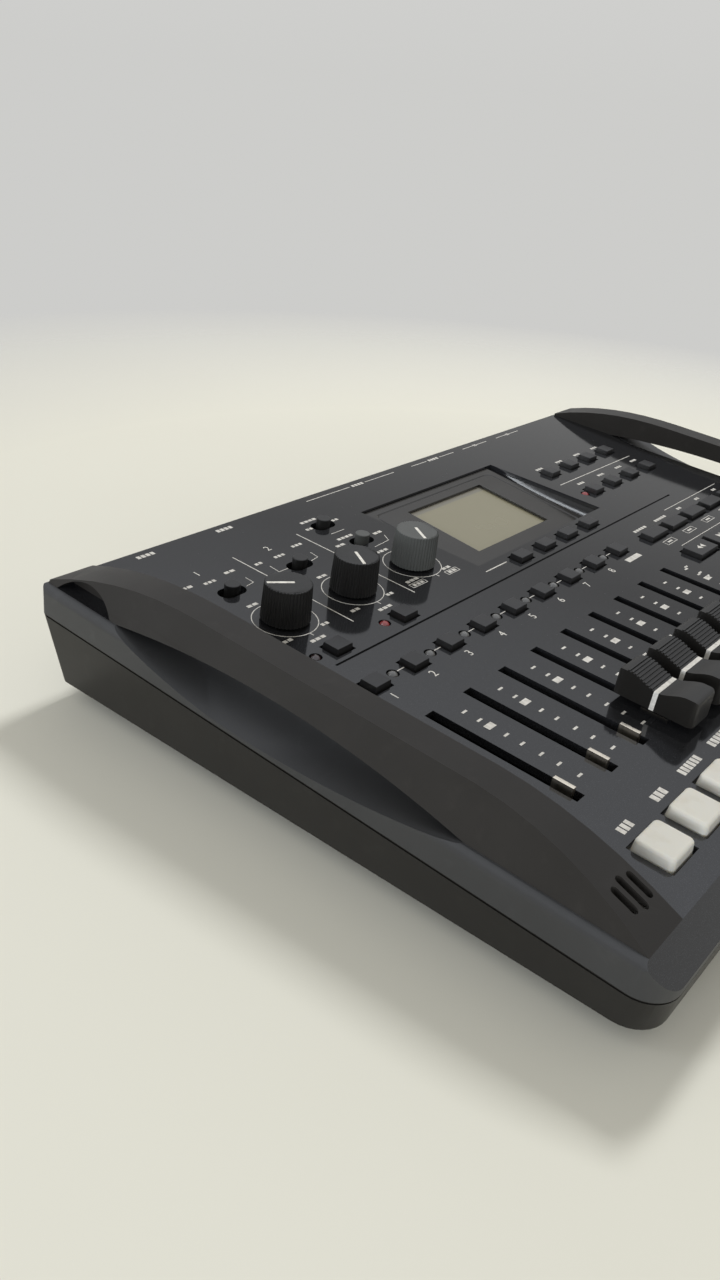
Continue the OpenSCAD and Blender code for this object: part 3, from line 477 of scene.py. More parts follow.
# %% [markdown]
# ## Lower case
# The two halves of the case meet along a parting line, and a narrow channel there hides a small
# misfit. A dark line could be painted on, but a sunk channel is dark from every side by itself. Two
# cuts mark a thin band of the wall, and an inset with a negative depth sinks it. The battery door,
# the feet and the screws have the right shape already and only lose their sharp edges.


# %% Lower case
GROOVE_TOP, GROOVE_FOOT, GROOVE_DEEP = -0.12, -0.6, 0.8
WALL_NEAR, GROOVE_BACK, LOWER_ROUND = 6, 8, 0.3


def cut(mesh, place, normal, **options):
    """Cuts all of a mesh along the plane through a place."""
    bmesh.ops.bisect_plane(mesh, geom=mesh.verts[:] + mesh.edges[:] + mesh.faces[:],
                           plane_co=place, plane_no=normal, **options)


def groove(mesh):
    """A narrow channel round the front and the sides, just under the parting line."""
    for height in (GROOVE_TOP, GROOVE_FOOT):
        cut(mesh, (0, 0, height), (0, 0, 1))
    band = []
    for face in mesh.faces:
        place = face.calc_center_median()
        near = min(place.x, WIDTH - place.x, place.y) < WALL_NEAR and place.y < DEPTH - GROOVE_BACK
        looks_out = face.normal.dot(place - CASE_MIDDLE) > 0
        if near and looks_out and GROOVE_FOOT < place.z < GROOVE_TOP:
            band.append(face)
    bmesh.ops.inset_region(mesh, faces=band, thickness=0, depth=-GROOVE_DEEP)
    print("groove faces:", len(band))


lower = copy_of("lower_case")
soften(lower, creases(lower, 35, lambda point: point.z < -2), LOWER_ROUND, 2)
groove(lower)
piece("lower_case_moulded", lower, "base", [lower_case_plastic], ["lower_case"])
softened("battery_door", "battery_door", lower_case_plastic, 0.25, 2)
softened("feet", "base", foot_rubber, 0.4, 3)
softened("case_screws", "base", plated_metal, 0.15, 1)

# %% [markdown]
# ## Rails
# A rail is the carrying bar over each side: a flat top, an outer side that leans in, and slots for
# a microphone at its front end. The long ridge between the top and the outer side shows as one soft
# light line, so its edges get a wide bevel first, and then every other sharp edge a narrow one.

# %% Rails
RIDGE, RIDGE_FROM, RAIL_EDGE = 2.2, 1.5, 0.8
for rail in ("left_rail", "right_rail"):
    mesh = copy_of(rail)
    crests = []
    for edge in creases(mesh, 22, lambda point: point.z > TOP + RIDGE_FROM):
        run = (edge.verts[0].co - edge.verts[1].co).normalized()
        if abs(run.x) < 0.5 and all(face.normal.z > -0.2 for face in edge.link_faces):
            crests.append(edge)
    soften(mesh, crests, RIDGE, 5)
    soften(mesh, creases(mesh, 40), RAIL_EDGE, 3)
    piece(rail + "_moulded", mesh, "base", [rail_plastic], [rail])

# %% [markdown]
# ## Display
# Under the window lies a reflective display without a backlight: olive grey, a little lighter where
# the room falls on it. The window is dark inside, with a clear rectangle and a fine sunk line round
# it. Here that rectangle is an opening in the dark plate with the display's glass just below, so
# that the step and its shadow are real. The line is two insets, one down and one up again.


# %% Window and glass
LCD_LOW, LCD_HIGH = Vector((122.3, 124.0)), Vector((164.0, 153.0))
BORDER, CORNER, LINE, LINE_DEEP, PLATE_ROUND = 3.8, 3.0, 0.4, 0.35, 0.12


def top_face(mesh):
    """The largest face that looks up out of the panel."""
    tops = [face for face in mesh.faces if face.normal.z > 0.9]
    return max(tops, key=lambda face: face.calc_area())


window = copy_of("display_window")
bmesh.ops.inset_region(window, faces=[top_face(window)], thickness=BORDER)
bmesh.ops.bevel(window, geom=top_face(window).verts[:], offset=CORNER, segments=5, profile=0.5,
                affect="VERTICES", material=-1)
for depth in (-LINE_DEEP, LINE_DEEP):
    bmesh.ops.inset_region(window, faces=[top_face(window)], thickness=LINE, depth=depth)
for edge in (LCD_LOW, LCD_HIGH):
    cut(window, (edge.x, 0, 0), (1, 0, 0))
for edge in (LCD_LOW, LCD_HIGH):
    cut(window, (0, edge.y, 0), (0, 1, 0))
opening = []
for face in window.faces:
    middle = face.calc_center_median()
    inside = all(LCD_LOW[axis] < middle[axis] < LCD_HIGH[axis] for axis in (0, 1))
    if inside and abs(face.normal.z) > 0.5:
        opening.append(face)
bmesh.ops.delete(window, geom=opening, context="FACES")
bmesh.ops.bridge_loops(window, edges=[edge for edge in window.edges if edge.is_boundary])
soften(window, creases(window, 30), PLATE_ROUND, 2)
piece("display_window_plate", window, "base", [window_plastic], ["display_window"])
print("clear rectangle:", [round(part, 1) for part in LCD_HIGH - LCD_LOW], "mm")

# %% [markdown]
# ## Knobs
# Each level knob is a slightly tapered cylinder with fine flutes, a rounded top edge and a white
# pointer that runs from just past the middle to the rim. A circle with many corners, every second
# pair of them pulled in, is the fluted section, and one extrusion with a scale gives the taper. The
# knob's joint says where it stands between its stops, and so where the pointer has to be.


# %% Fluted bodies
def slab(mesh, low, high):
    """A box between two corners."""
    size = Vector(high) - Vector(low)
    place = Matrix.Translation((Vector(high) + Vector(low)) / 2)
    return bmesh.ops.create_cube(mesh, size=1, matrix=place @ Matrix.Diagonal(size).to_4x4())


def fluted(mesh, foot, top, count, depth):
    """A fluted, tapered, round body: foot and top are (radius, height). Gives its top face."""
    ring = bmesh.ops.create_circle(mesh, cap_ends=True, radius=foot[0], segments=count * 4)["verts"]
    for number, point in enumerate(ring):
        if number % 4 in (2, 3):
            point.co *= 1 - depth / foot[0]
    bmesh.ops.translate(mesh, verts=ring, vec=(0, 0, foot[1]))
    face = ring[0].link_faces[0]
    risen = bmesh.ops.extrude_face_region(mesh, geom=[face], use_keep_orig=True)["geom"]
    corners = [part for part in risen if isinstance(part, bmesh.types.BMVert)]
    bmesh.ops.scale(mesh, verts=corners, vec=(top[0] / foot[0], top[0] / foot[0], 1))
    bmesh.ops.translate(mesh, verts=corners, vec=(0, 0, top[1] - foot[1]))
    bmesh.ops.recalc_face_normals(mesh, faces=mesh.faces)
    return next(part for part in risen if isinstance(part, bmesh.types.BMFace))


print("master knob stands", round(spot("master_knob")[1].z - TOP, 1), "mm proud of the panel")

# %% Level knobs
BLACK, GREY = (black_plastic, "control_black"), (grey_plastic, "control_grey")
KNOBS = {"input_knob_1": BLACK, "input_knob_2": BLACK, "master_knob": GREY}
KNOB_FOOT, KNOB_TOP, FLUTES, FLUTE_DEEP = 6.6, 6.2, 44, 0.22
KNOB_LIFT, KNOB_SINK, RIM_IN, RIM_ROUND = 0.8, 0.04, 0.35, 0.25
SHAFT, SHAFT_UP, HALF_TRAVEL = 3, 2, 150
POINTER_LOW, POINTER_HIGH = Vector((-0.42, -1.5, -0.4)), Vector((0.42, 5.6, -0.002))
for node, (finish, slot) in KNOBS.items():
    low, high = spot(node)
    mesh = bmesh.new()
    cap = fluted(mesh, (KNOB_FOOT, TOP + KNOB_LIFT), (KNOB_TOP, high.z - KNOB_SINK), FLUTES,
                 FLUTE_DEEP)
    bmesh.ops.inset_region(mesh, faces=[cap], thickness=RIM_IN, depth=0)
    soften(mesh, creases(mesh, 35, lambda point: point.z > high.z - 0.1), RIM_ROUND, 2)
    shaft = bmesh.ops.create_cone(mesh, cap_ends=True, segments=32, radius1=SHAFT, radius2=SHAFT,
                                  depth=TOP + SHAFT_UP - low.z)
    bmesh.ops.translate(mesh, verts=shaft["verts"], vec=(0, 0, (TOP + SHAFT_UP + low.z) / 2))
    tip = Vector((0, 0, high.z))
    for corner in slab(mesh, tip + POINTER_LOW, tip + POINTER_HIGH)["verts"]:
        for face in corner.link_faces:
            face.material_index = 1
    clockwise = turns[node + "_turn"]["range_deg"][1] - HALF_TRAVEL
    turn = Matrix.Rotation(math.radians(-clockwise), 4, "Z")
    middle = middle_of(node)
    mesh.transform(Matrix.Translation((middle.x, middle.y, 0)) @ turn)
    piece(node + "_fluted", mesh, node, [finish, pointer_ink], [node])
    print(node, "points", round(clockwise, 1), "degrees clockwise of the back")

# %% [markdown]
# ## Fader caps
# Six of the nine faders have their cap: a long black saddle with a ribbed back half for the finger,
# a smooth front half and a white line across the middle that runs down both sides. The cap starts
# as one box, cut across at many places along its length, and a height rule bends its top into the
# saddle. The cuts also give the ribs, which are every second strip of the back half, raised.


# %% Fader caps
CAP_LONG, CAP_WIDE, CAP_FOOT, CAP_END, CAP_MID = 21.0, 10.3, 10.1, 17.1, 15.0
CAP_TAPER, SADDLE_PART, END_ROUND, LINE_HALF = 0.97, 0.72, 1.5, 0.6
RIB_FROM, RIB, RIBS, RIB_UP = 1.2, 0.46, 16, 0.34
FRONT_FROM, FRONT_STEP, FRONT_CUTS = -8.5, 0.5, 16


def saddle(along):
    """Height of the cap's top at a place along it, from -1 at the front to 1 at the back."""
    flat = min(1.0, abs(along) / SADDLE_PART)
    return CAP_MID + (CAP_END - CAP_MID) * (1 - math.cos(math.pi * flat)) / 2


def is_rib(face):
    """True on every second strip of the back half's top."""
    painted_frame_shade = (face.calc_center_median().y - RIB_FROM) / RIB
    return face.normal.z > 0.6 and 0 < painted_frame_shade < RIBS and int(painted_frame_shade) % 2 == 0


def fader_cap():
    """A cap about its own middle: ribs at the back, white line in the middle."""
    mesh = bmesh.new()
    half = Vector((CAP_WIDE / 2, CAP_LONG / 2))
    slab(mesh, (-half.x, -half.y, CAP_FOOT), (half.x, half.y, CAP_END))
    cuts = [-LINE_HALF, LINE_HALF] + [FRONT_FROM + step * FRONT_STEP for step in range(FRONT_CUTS)]
    cuts += [RIB_FROM + step * RIB for step in range(RIBS + 1)]
    for place in sorted(cuts):
        cut(mesh, (0, place, 0), (0, 1, 0))
    for point in mesh.verts:
        if point.co.z > CAP_END - 0.1:
            point.co.z = saddle(point.co.y / half.y)
            point.co.x *= CAP_TAPER
    ribs = [face for face in mesh.faces if is_rib(face)]
    for face in bmesh.ops.extrude_discrete_faces(mesh, faces=ribs)["faces"]:
        bmesh.ops.translate(mesh, verts=face.verts, vec=(0, 0, RIB_UP))
    bmesh.ops.recalc_face_normals(mesh, faces=mesh.faces)
    ends = [edge for edge in creases(mesh, 50, lambda point: abs(point.y) > half.y - 0.01)
            if max(end.co.z for end in edge.verts) > CAP_FOOT + 1]
    soften(mesh, ends, END_ROUND, 5)
    for face in mesh.faces:
        face.material_index = int(abs(face.calc_center_median().y) < LINE_HALF)
    return mesh


print("cap:", CAP_LONG, "by", CAP_WIDE, "mm, saddle", round(saddle(1) - saddle(0), 2), "mm deep")

# %% [markdown]
# ## Levers
# A fader's lever is a thin nickel blade in its slot. Three faders have lost their caps and show it.
# In the frame a lever and its cap are one solid. So where there is a cap, the copy is cut off just
# above the panel, the hole is filled, and the new cap takes the place of the rest.

# %% Levers and their caps
FADERS = [f"fader_{number}" for number in range(1, 9)] + ["master_fader"]
CAPPED_FROM, STUB, LEVER_ROUND = 4, 1.7, 0.13
for node in FADERS:
    mesh = copy_of(node)
    capped = spot(node)[1].z > TOP + CAPPED_FROM
    if capped:
        cut(mesh, (0, 0, TOP + STUB), (0, 0, 1), clear_outer=True)
        bmesh.ops.holes_fill(mesh, edges=[edge for edge in mesh.edges if edge.is_boundary])
    soften(mesh, creases(mesh, 40, lambda point: point.z > TOP), LEVER_ROUND, 2)
    piece(node + "_lever", mesh, node, [lever_nickel], [node])
    if capped:
        mesh = fader_cap()
        mesh.transform(Matrix.Translation((*middle_of(node).xy, 0)))
        piece(node + "_cap", mesh, node, [cap_plastic, white_ink], ())

# %% [markdown]
# ## Keys
# Keys are small black caps whose top is a little smaller than their foot. They could be modelled
# again, but their solids already have the right size and place and the flange that keeps them under
# the panel. So they are copied, the corners of the top are drawn in, and its edges are rounded.


# %% Keys
def drawn_in(node, draw):
    """A copy of a solid whose top faces are a little smaller than their foot."""
    mesh = copy_of(node)
    peak = max(point.co.z for point in mesh.verts)
    for face in mesh.faces:
        middle = face.calc_center_median()
        if face.normal.z > 0.9 and middle.z > peak - 0.05:
            for corner in face.verts:
                shift = corner.co - middle
                corner.co -= Vector((math.copysign(draw, shift.x), math.copysign(draw, shift.y), 0))
    return mesh


STATUS_KEYS = [f"status_key_{number}" for number in range(1, 10)]
KEYS = STATUS_KEYS + ["input_key_1", "input_key_2", "soft_keys", "function_keys", "edit_keys",
                      "transport_keys", "cursor_keys"]
KEY_DRAW, KEY_ROUND = 0.35, 0.28
for node in KEYS:
    mesh = drawn_in(node, KEY_DRAW)
    soften(mesh, creases(mesh, 30, lambda point: point.z > TOP - 1), KEY_ROUND, 2)
    piece(node + "_cap", mesh, node, [key_plastic], [node])

# %% [markdown]
# ## Pads
# The pads are thick white cushions of silicone that are hit with a finger, with round corners and a
# generous radius round the top. The upright corners are rounded first and the top edge after them,
# because two bevels of different width make a better corner one after the other than together.

# %% Pads
PAD_DRAW, PAD_CORNER, PAD_ROUND = 0.4, 1.3, 0.8
for node in [f"pad_{number}" for number in range(1, 9)]:
    peak = spot(node)[1].z
    mesh = drawn_in(node, PAD_DRAW)
    uprights = [edge for edge in creases(mesh, 40, lambda point: point.z > TOP - 3)
                if abs(edge.verts[0].co.z - edge.verts[1].co.z) > 1.5]
    soften(mesh, uprights, PAD_CORNER, 4)
    soften(mesh, creases(mesh, 40, lambda point: point.z > peak - 0.05), PAD_ROUND, 4)
    piece(node + "_cushion", mesh, node, [pad_silicone], [node])

# %% [markdown]
# ## Switches, dial and sockets
# The small slide switches are round stubs, one of them grey. The jog dial has a finger dimple.
# Sockets at the back are black plastic. All of these are turned or moulded solids already, so
# rounding their edges is enough, and only where they stand out of the panel or the back.


# %% Switches, dial and sockets
def in_the_open(point):
    """True above the panel and outside the back wall."""
    return point.z > TOP - 0.5 or point.y > DEPTH - 9


for node in ("input_switch_1", "input_switch_2", "monitor_switch", "supply_switch", "power_switch",
             "phones_knob", "jog_dial"):
    finish, slot = GREY if node == "monitor_switch" else BLACK
    softened(node, node, finish, 0.3, 3, in_the_open)
softened("rear_jacks", "base", black_plastic, 0.2, 2)

# %% [markdown]
# ## Lamps
# A lamp is a short resin dome in a hole. The nine status lamps are clear and unlit, the others are
# red, and the one of the first input is so dark that it looks black. They are one solid in the
# frame, so its faces are told apart by place to give each lamp its colour.

# %% Lamps
STATUS_ROW, FIRST_INPUT, LAMP_ROUND = (90.0, 96.0), 40.0, 0.35
CLEAR, RED, DARK = range(3)
mesh = copy_of("indicator_lamps")
soften(mesh, creases(mesh, 40, lambda point: point.z > TOP), LAMP_ROUND, 3)
for face in mesh.faces:
    place = face.calc_center_median()
    status = STATUS_ROW[0] < place.y < STATUS_ROW[1]
    face.material_index = CLEAR if status else DARK if place.x < FIRST_INPUT else RED
piece("indicator_lamps_resin", mesh, "base", [clear_resin, red_resin, dark_resin],
      ["indicator_lamps"])

# %% [markdown]
# ## Marks of ink
# White ink is a few hundredths of a millimetre thick. It could be a mask in the lacquer's shader,
# but a thin closed plate for each mark, half sunk in the lacquer, stays sharp at any size and needs
# no picture file. Labels are rows of short plain dashes; numbers, scales, rings and lines are drawn
# as they are. All places below are panel millimetres, found through the fitted camera.


# %% Bars and lines
INK = 0.03


def mark(mesh, u, v, wide, deep, turn=0.0):
    """A flat bar of ink about a place on the panel, turned in degrees."""
    shape = Matrix.Translation((u, v, TOP)) @ Matrix.Rotation(math.radians(turn), 4, "Z")
    bmesh.ops.create_cube(mesh, size=1, matrix=shape @ Matrix.Diagonal((wide, deep, 2 * INK, 1)))


def line(mesh, start, end, wide=0.28):
    """A ruled line between two places."""
    along = Vector(end) - Vector(start)
    middle = (Vector(end) + Vector(start)) / 2
    mark(mesh, middle.x, middle.y, along.length, wide, math.degrees(math.atan2(along.y, along.x)))


def dashes(mesh, u, v, length, tall=1.1):
    """A label: a few plain dashes about a place."""
    count = max(2, round(length / 1.6))
    step = length / count
    for number in range(count):
        mark(mesh, u - length / 2 + step * (number + 0.5), v, step - 0.4, tall)


def box(mesh, u, v, wide, deep, thick=0.22):
    """An outlined box."""
    for side in (-1, 1):
        mark(mesh, u, v + side * deep / 2, wide, thick)
        mark(mesh, u + side * wide / 2, v, thick, deep)


print("ink stands", INK, "mm proud of the panel")


# %% Rings and numbers
def ring(mesh, u, v, radius, wide=0.25):
    """A thin ring: the outline of a bar of ink spun round a knob's middle."""
    upright = Matrix.Translation((u + radius, v, TOP)) @ Matrix.Rotation(math.radians(90), 4, "X")
    shape = upright @ Matrix.Diagonal((wide, 2 * INK, 1, 1))
    made = bmesh.ops.create_grid(mesh, x_segments=1, y_segments=1, size=0.5, matrix=shape)
    section = made["verts"]
    bmesh.ops.delete(mesh, geom=section[0].link_faces[:], context="FACES_ONLY")
    outline = section + list({edge for corner in section for edge in corner.link_edges})
    bmesh.ops.spin(mesh, geom=outline, cent=(u, v, TOP), axis=(0, 0, 1), angle=math.tau, steps=72,
                   use_merge=True)
    bmesh.ops.recalc_face_normals(mesh, faces=mesh.faces)


def digit(mesh, text, u, v, tall=2.6):
    """A number from Blender's own letters, made a mesh before it is placed."""
    curve = bpy.data.curves.new("digit", "FONT")
    curve.body, curve.size, curve.extrude = text, tall * 1.38, INK
    curve.align_x, curve.align_y = "CENTER", "CENTER"
    maker = bpy.data.objects.new("digit", curve)
    shape = bpy.data.meshes.new_from_object(maker)
    shape.transform(Matrix.Translation((u, v, TOP)))
    mesh.from_mesh(shape)
    bpy.data.objects.remove(maker)


print("rings and numbers are", 2 * INK, "mm thick")

# %% [markdown]
# ## Print of the faders
# Beside each fader stands its scale: seven short ticks and one broad mark where the level is
# neutral. The tracks are numbered in front of their keys, and each pad has a label. Rows have one
# place and a step, so loops set them, and where a mark belongs to a fader or key, that solid gives
# its place.

# %% Scales of the faders
SCALE_AT, NEUTRAL_ROW, NUMBER_ROW, LAMP_ROW, PAD_LABEL_ROW = 7.0, 64.9, 86.7, 93.2, 26.1
TICK_ROWS = (72.1, 67.8, 60.4, 56.1, 51.1, 46.5, 41.3)
PAD_LABELS = (5.0, 5.6, 9.6, 8.6, 5.6, 5.6, 5.6, 6.4)
scale = bmesh.new()
for node in FADERS:
    u = middle_of(node).x + SCALE_AT
    for v in TICK_ROWS:
        mark(scale, u, v, 1.8, 0.62)
    mark(scale, u, NEUTRAL_ROW, 2.9, 1.8)
for number in range(8):
    digit(scale, str(number + 1), 31.9 + 15.3 * number, NUMBER_ROW)
mark(scale, 153.5, 86.9, 8.4, 2.0)
for node in STATUS_KEYS:
    u = middle_of(node).x
    line(scale, (u - 6.2, LAMP_ROW), (u - 3.5, LAMP_ROW))
for number, length in enumerate(PAD_LABELS):
    dashes(scale, 31.4 + 15.6 * number, PAD_LABEL_ROW, length, 2.2)
for v in (72.9, 68.1, 65.5):
    mark(scale, 162.2, v, 1.8, 0.6)
piece("fader_print", scale, "base", [white_ink])

# %% [markdown]
# ## Print of the inputs
# The back left field belongs to the two inputs and the master level: a ring round each knob with a
# tick to the front and to the right, two long rules between the fields, labels, and thin bent lines
# that lead from a label to its switch. Nothing here repeats, so it is a table of places.

# %% Print of the inputs
RING, RULE_FROM, RULE_TO = 8.65, 160.7, 115.6
BOXED_LABELS = [(82.3, 118.3, 6.4), (97, 117.1, 5.4)]
INPUT_LABELS = [(35.6, 153.6, 4.4), (44, 154.9, 4), (28.5, 154.8, 4), (54, 153.6, 3),
                (71.6, 155.5, 4.4), (62.4, 153.6, 4.4), (35.8, 137.7, 4), (62.9, 137.7, 4),
                (89.8, 137.9, 5.6), (55.9, 119.4, 3.6), (70.6, 119.4, 3), (43.9, 119.5, 3),
                (30, 119.5, 3.6), (82.3, 118.3, 5), (97, 117.1, 4), (82.3, 120.6, 5.6),
                (97, 119.4, 4), (36.9, 115.5, 5.6), (63.4, 115.2, 5.6), (87, 165.1, 7),
                (94.7, 160.9, 3), (83, 160.9, 3), (87.8, 150.7, 7), (82.4, 147.8, 4),
                (98.8, 147, 4)]
LEADERS = [[(45.2, 149.8), (45.1, 146.6), (42, 146.1)], [(71.5, 149.9), (71.1, 146.6), (67.7, 146)],
           [(55.6, 150.7), (55.2, 146.7), (58.8, 146.7)],
           [(99.3, 144.6), (97.6, 141.5), (90.3, 140.9)], [(86, 154.6), (92, 154.6)]]
inputs = bmesh.new()
for place in [middle_of(node) for node in KNOBS]:
    ring(inputs, place.x, place.y, RING)
    line(inputs, (place.x, place.y - 8.7), (place.x, place.y - 10.0))
    line(inputs, (place.x + 7.2, place.y), (place.x + 8.6, place.y))
for u in (50.8, 77.1):
    line(inputs, (u, RULE_FROM), (u, RULE_TO), 0.35)
digit(inputs, "1", 36, 159.1)
digit(inputs, "2", 62.9, 158.8)
for u, v, length in INPUT_LABELS:
    dashes(inputs, u, v, length)
for u, v, length in BOXED_LABELS:
    box(inputs, u, v, length, 1.9)
for path in LEADERS:
    for start, end in zip(path, path[1:]):
        line(inputs, start, end, 0.22)
piece("input_print", inputs, "base", [white_ink])

# %% [markdown]
# ## Print of the back edge and of the keys
# Along the back edge the sockets below have their labels, some with a bracket of two lines that
# spans a pair of sockets. The function and edit keys have labels, the transport keys boxed ones
# behind them, and thin rules part the groups. Again a table and a few loops are the shortest way.

# %% Print of the back edge and of the keys
BACK_ROW, KEY_STEP, BOX_ROW, BOX_FROM = 175.6, 15.15, 85.2, 176.6
BRACKETS = [(97.7, 142.9, 123, 6), (153, 179, 166, 6), (185, 201, 193, 0), (208, 224, 216, 0)]
FUNCTION_LABELS = [(193.8, 146.7), (207.9, 146.7), (221.6, 146.7), (235.1, 146.7),
                   (195.7, 130), (210.6, 130), (224.4, 130), (236.9, 130)]
rows = bmesh.new()
for u in (32, 61.7):
    dashes(rows, u, BACK_ROW, 6.4, 1.5)
for left, right, middle, length in BRACKETS:
    line(rows, (left, BACK_ROW), (middle - length / 2 - 1, BACK_ROW), 0.3)
    line(rows, (middle + length / 2 + 1, BACK_ROW), (right, BACK_ROW), 0.3)
    dashes(rows, middle, BACK_ROW, max(length, 2), 1.3)
line(rows, (187, 133.5), (240.6, 133.5), 0.32)
for u, v in FUNCTION_LABELS:
    dashes(rows, u, v, 4.6)
line(rows, (200, 98.6), (243.5, 98.6), 0.25)
for number in range(5):
    u = BOX_FROM + KEY_STEP * number
    dashes(rows, u - 0.3, 96.2, 8.6 if number < 2 else 3.2)
    box(rows, u, BOX_ROW, 6.6, 2.2)
    mark(rows, u, BOX_ROW, 3.0, 0.7)
line(rows, (BOX_FROM, 81), (245, 81), 0.25)
line(rows, (105, 110.4), (116, 110.4), 0.4)
piece("key_print", rows, "base", [white_ink])

# %% [markdown]
# ## Signs on the transport and cursor keys
# Rewind, forward, stop, play and record have signs that every player uses: triangles, a square and
# a disc, and each cursor key has an arrow. They are printed on the keys, so they are pieces of
# their own that ride with them. A cone with three sides and no taper is a flat triangle.


# %% Signs
def arrow(mesh, u, v, size, turn, height):
    """A flat triangle that points along turn, in degrees from the right."""
    place = Matrix.Translation((u, v, height)) @ Matrix.Rotation(math.radians(turn), 4, "Z")
    bmesh.ops.create_cone(mesh, cap_ends=True, segments=3, radius1=size, radius2=size,
                          depth=2 * INK, matrix=place @ Matrix.Rotation(math.radians(-90), 4, "Z"))


signs = bmesh.new()
first, step, row, top = 178.2, 15.3, 75.4, spot("transport_keys")[1].z
for shift in (-1.1, 1.1):
    arrow(signs, first + shift, row, 1.3, 180, top)
    arrow(signs, first + step + shift, row, 1.3, 0, top)
bmesh.ops.create_cube(signs, size=1, matrix=Matrix.Translation((first + 2 * step, row, top))
                      @ Matrix.Diagonal((2.2, 2.2, 2 * INK, 1)))
arrow(signs, first + 3 * step, row, 1.6, 0, top)
bmesh.ops.create_cone(signs, cap_ends=True, segments=32, radius1=1.2, radius2=1.2, depth=2 * INK,
                      matrix=Matrix.Translation((first + 4 * step, row, top)))
piece("transport_signs", signs, "transport_keys", [white_ink])

CURSOR_ARM = 10.5
signs = bmesh.new()
middle, top = middle_of("cursor_keys"), spot("cursor_keys")[1].z
for turn in (0, 90, 180, 270):
    spoke = Matrix.Rotation(math.radians(turn), 2) @ Vector((CURSOR_ARM, 0))
    arrow(signs, middle.x + spoke.x, middle.y + spoke.y, 1.2, turn, top)
piece("cursor_signs", signs, "cursor_keys", [white_ink])

# %% [markdown]
# ## Parts inside
# The boards, fader bodies and contacts are mostly hidden, but they show through slots and when the
# battery door is off. Their solids have the right shape, so they stay and only get a finish. Boards
# are green with a grid of paler tracks. The display is olive glass with painted shade, a greyer
# strip along its left and back edge, where the frame under the window keeps the room's light from
# it, and broad patches of painted light, a little lighter where the room falls on it.


# %% Finishes for the parts inside
def board_finish():
    """Green board with a grid of tracks."""
    finish = Finish("circuit_board", {"IOR": 1.5})
    tracks = finish.node("ShaderNodeTexBrick", {}, {"Vector": finish.place, "Scale": 220.0}, 1)
    finish.vary("Base Color",
                finish.blend(tracks, (0.012, 0.05, 0.025, 1), (0.03, 0.1, 0.05, 1)))
    finish.vary("Roughness", 0.35 + 0.2 * finish.noise(3))
    return finish


def display_finish():
    """Olive glass: a greyer strip of painted shade at left and back, patches of painted light."""
    finish = Finish("display_glass", {"IOR": 1.5})
    cells = finish.noise(0.3, 1)
    # Painted light: broad soft patches, a little lighter where the room's light would fall on the
    # display.
    painted_light_patches = finish.noise(40, 2)
    left = (PANEL @ LCD_LOW.to_3d()).dot(SIDE)
    back = (PANEL @ LCD_HIGH.to_3d()).dot(BACK)
    # Painted shade: a greyer strip along the left and back edges, where the frame under the window
    # keeps the room's light off.
    near_left = 1 - finish.level(finish.along(SIDE), left + 0.0014, left + 0.0022)
    near_back = finish.level(finish.along(BACK), back - 0.0026, back - 0.0018)
    cell = finish.blend(painted_light_patches * 0.5 + cells * 0.1, (0.235, 0.225, 0.165, 1),
                        (0.275, 0.265, 0.195, 1))
    painted_frame_shade = near_left.most(near_back)
    finish.vary("Base Color", finish.blend(painted_frame_shade, cell, (0.20, 0.195, 0.17, 1)))
    finish.vary("Roughness", 0.22 + 0.08 * finish.noise(10))
    return finish


circuit_board, display_glass = board_finish(), display_finish()
INSIDE = {"main_board": circuit_board, "panel_board": circuit_board, "fader_bodies": black_plastic,
          "pot_bodies": plated_metal, "battery_contacts": plated_metal,
          "microphones": plated_metal, "display_module": display_glass}
for node, finish in INSIDE.items():
    solids[node].data.materials.clear()
    solids[node].data.materials.append(finish.material)
print("finished inside:", ", ".join(INSIDE))

# %% [markdown]
# ## Floor
# The recorder stands on a pale table. The floor is a disc with a faint mottle, whose alpha fades
# out into the surrounding colour, so there is no edge to see. A large plane would do for one
# camera, but from low down its horizon would show as a line.

# %% Floor
FLOOR, FLOOR_RADIUS, FADE_FROM, FADE_TO = cad_box[0][2] - 0.0002, 0.6, 0.26, 0.5
pale_floor = Finish("pale_floor", {"Roughness": 0.85})
far = pale_floor.node("ShaderNodeVectorMath", {"operation": "LENGTH"}, {0: pale_floor.place}, 1)
mottle = pale_floor.noise(120, 3)
pale_floor.vary("Base Color",
                pale_floor.blend(mottle, (0.715, 0.725, 0.675, 1), (0.745, 0.755, 0.71, 1)))
pale_floor.vary("Alpha", 1 - pale_floor.level(far, FADE_FROM, FADE_TO))
disc = bmesh.new()
bmesh.ops.create_circle(disc, cap_ends=True, radius=FLOOR_RADIUS, segments=96,
                        matrix=Matrix.Translation((0, 0, FLOOR)))
floor_mesh = bpy.data.meshes.new("floor")
disc.to_mesh(floor_mesh)
disc.free()
floor_mesh.materials.append(pale_floor.material)
floor = bpy.data.objects.new("floor", floor_mesh)
bpy.context.collection.objects.link(floor)
floor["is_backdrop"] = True
print("floor at", round(FLOOR, 4), "m")

# %% [markdown]
# ## Room
# The room is a pale wall that the camera and every reflection see, while its light on the object is
# plainer and less. The colour that is seen changes with the height above the horizon, because the
# glossy panel mirrors it: that gives the panel its grey. The Light Path node tells the two kinds of
# rays apart, and a Mix Shader chooses.

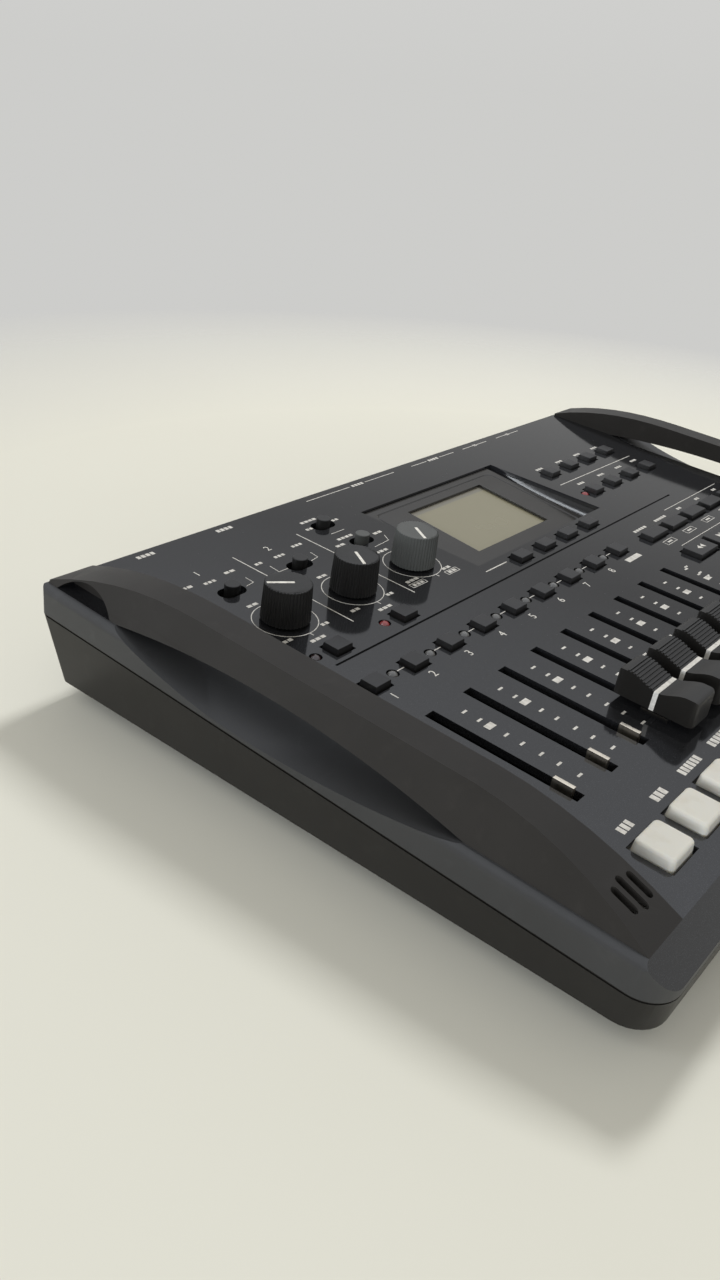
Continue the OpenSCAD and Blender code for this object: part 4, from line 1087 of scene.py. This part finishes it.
# %% Room
WALL = [(0.50, (0.61, 0.61, 0.595)), (0.62, (0.66, 0.66, 0.65)), (0.72, (0.40, 0.40, 0.40)),
        (0.84, (1.15, 1.19, 1.26))]
GIVEN = {"Color": (1.0, 0.93, 0.80, 1), "Strength": 0.46}
world = bpy.data.worlds.new("room")
scene.world = world
world.use_nodes = True
room = Net(world.node_tree)
rays = room.node("ShaderNodeLightPath", output="Is Camera Ray")
seen = rays.most(rays.beside("Is Glossy Ray")).most(rays.beside("Is Transmission Ray"))
bearing = room.node("ShaderNodeTexCoord", output="Generated")
height = room.node("ShaderNodeSeparateXYZ", {}, {0: bearing}, "Z")
wall = room.node("ShaderNodeValToRGB", {"stops": WALL}, {0: 0.5 + 0.5 * height})
shown = room.node("ShaderNodeBackground", {}, {"Color": wall, "Strength": 1.0})
given = room.node("ShaderNodeBackground", {}, GIVEN)
chosen = room.node("ShaderNodeMixShader", {}, {0: seen, 1: given, 2: shown})
room.feed("World Output", "Surface", chosen)
print("room nodes:", len(world.node_tree.nodes))

# %% [markdown]
# ## Lights
# One soft light from the back right throws the long shadow to the front left. A weak wide one at
# table height brightens the side that faces the camera, as the table of a bright room does. A tall
# thin one stands where the right wall of the display's recess mirrors it, and gives the bright
# streak there. Gloss mirrors only that one, or the panel would show lamps that the room lacks.


# %% Lights
def soft_light(name, watts, size, place, colour, mirrored):
    """A flat lamp, width by length, that looks at the recorder; gloss may mirror it or not."""
    lamp = bpy.data.lights.new(name, "AREA")
    lamp.shape, lamp.energy, lamp.color = "RECTANGLE", watts, colour
    lamp.size, lamp.size_y = size
    stand = bpy.data.objects.new(name, lamp)
    stand.location = place
    aim = Vector((0, 0, 0.02)) - stand.location
    stand.rotation_euler = aim.to_track_quat("-Z", "Y").to_euler()
    bpy.context.collection.objects.link(stand)
    stand.visible_glossy = mirrored
    print(name, watts, "W")


soft_light("window_light", 13.5, (0.3, 0.3), (0.88, 0.35, 1.16), (1.0, 0.985, 0.95), False)
soft_light("slit_light", 0.6, (0.035, 0.59), (-0.545, 0.35, 0.37), (0.90, 0.95, 1.0), True)
soft_light("fill_light", 5.0, (0.9, 0.2), (-0.85, -0.3, 0.14), (0.95, 0.98, 1.0), False)

# %% [markdown] ## Sizes How much the dressed recorder's box differs from the frame's, in millimetres.
# Sizes The dressed recorder must keep the frame's box.

# %% Sizes and close
bpy.context.view_layer.update()
seen_box = [list(corner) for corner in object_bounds()]
grown = [[round((seen - cad) * 1000, 2) for seen, cad in zip(*pair)]
         for pair in zip(seen_box, cad_box)]
print("grown by mm:", grown)
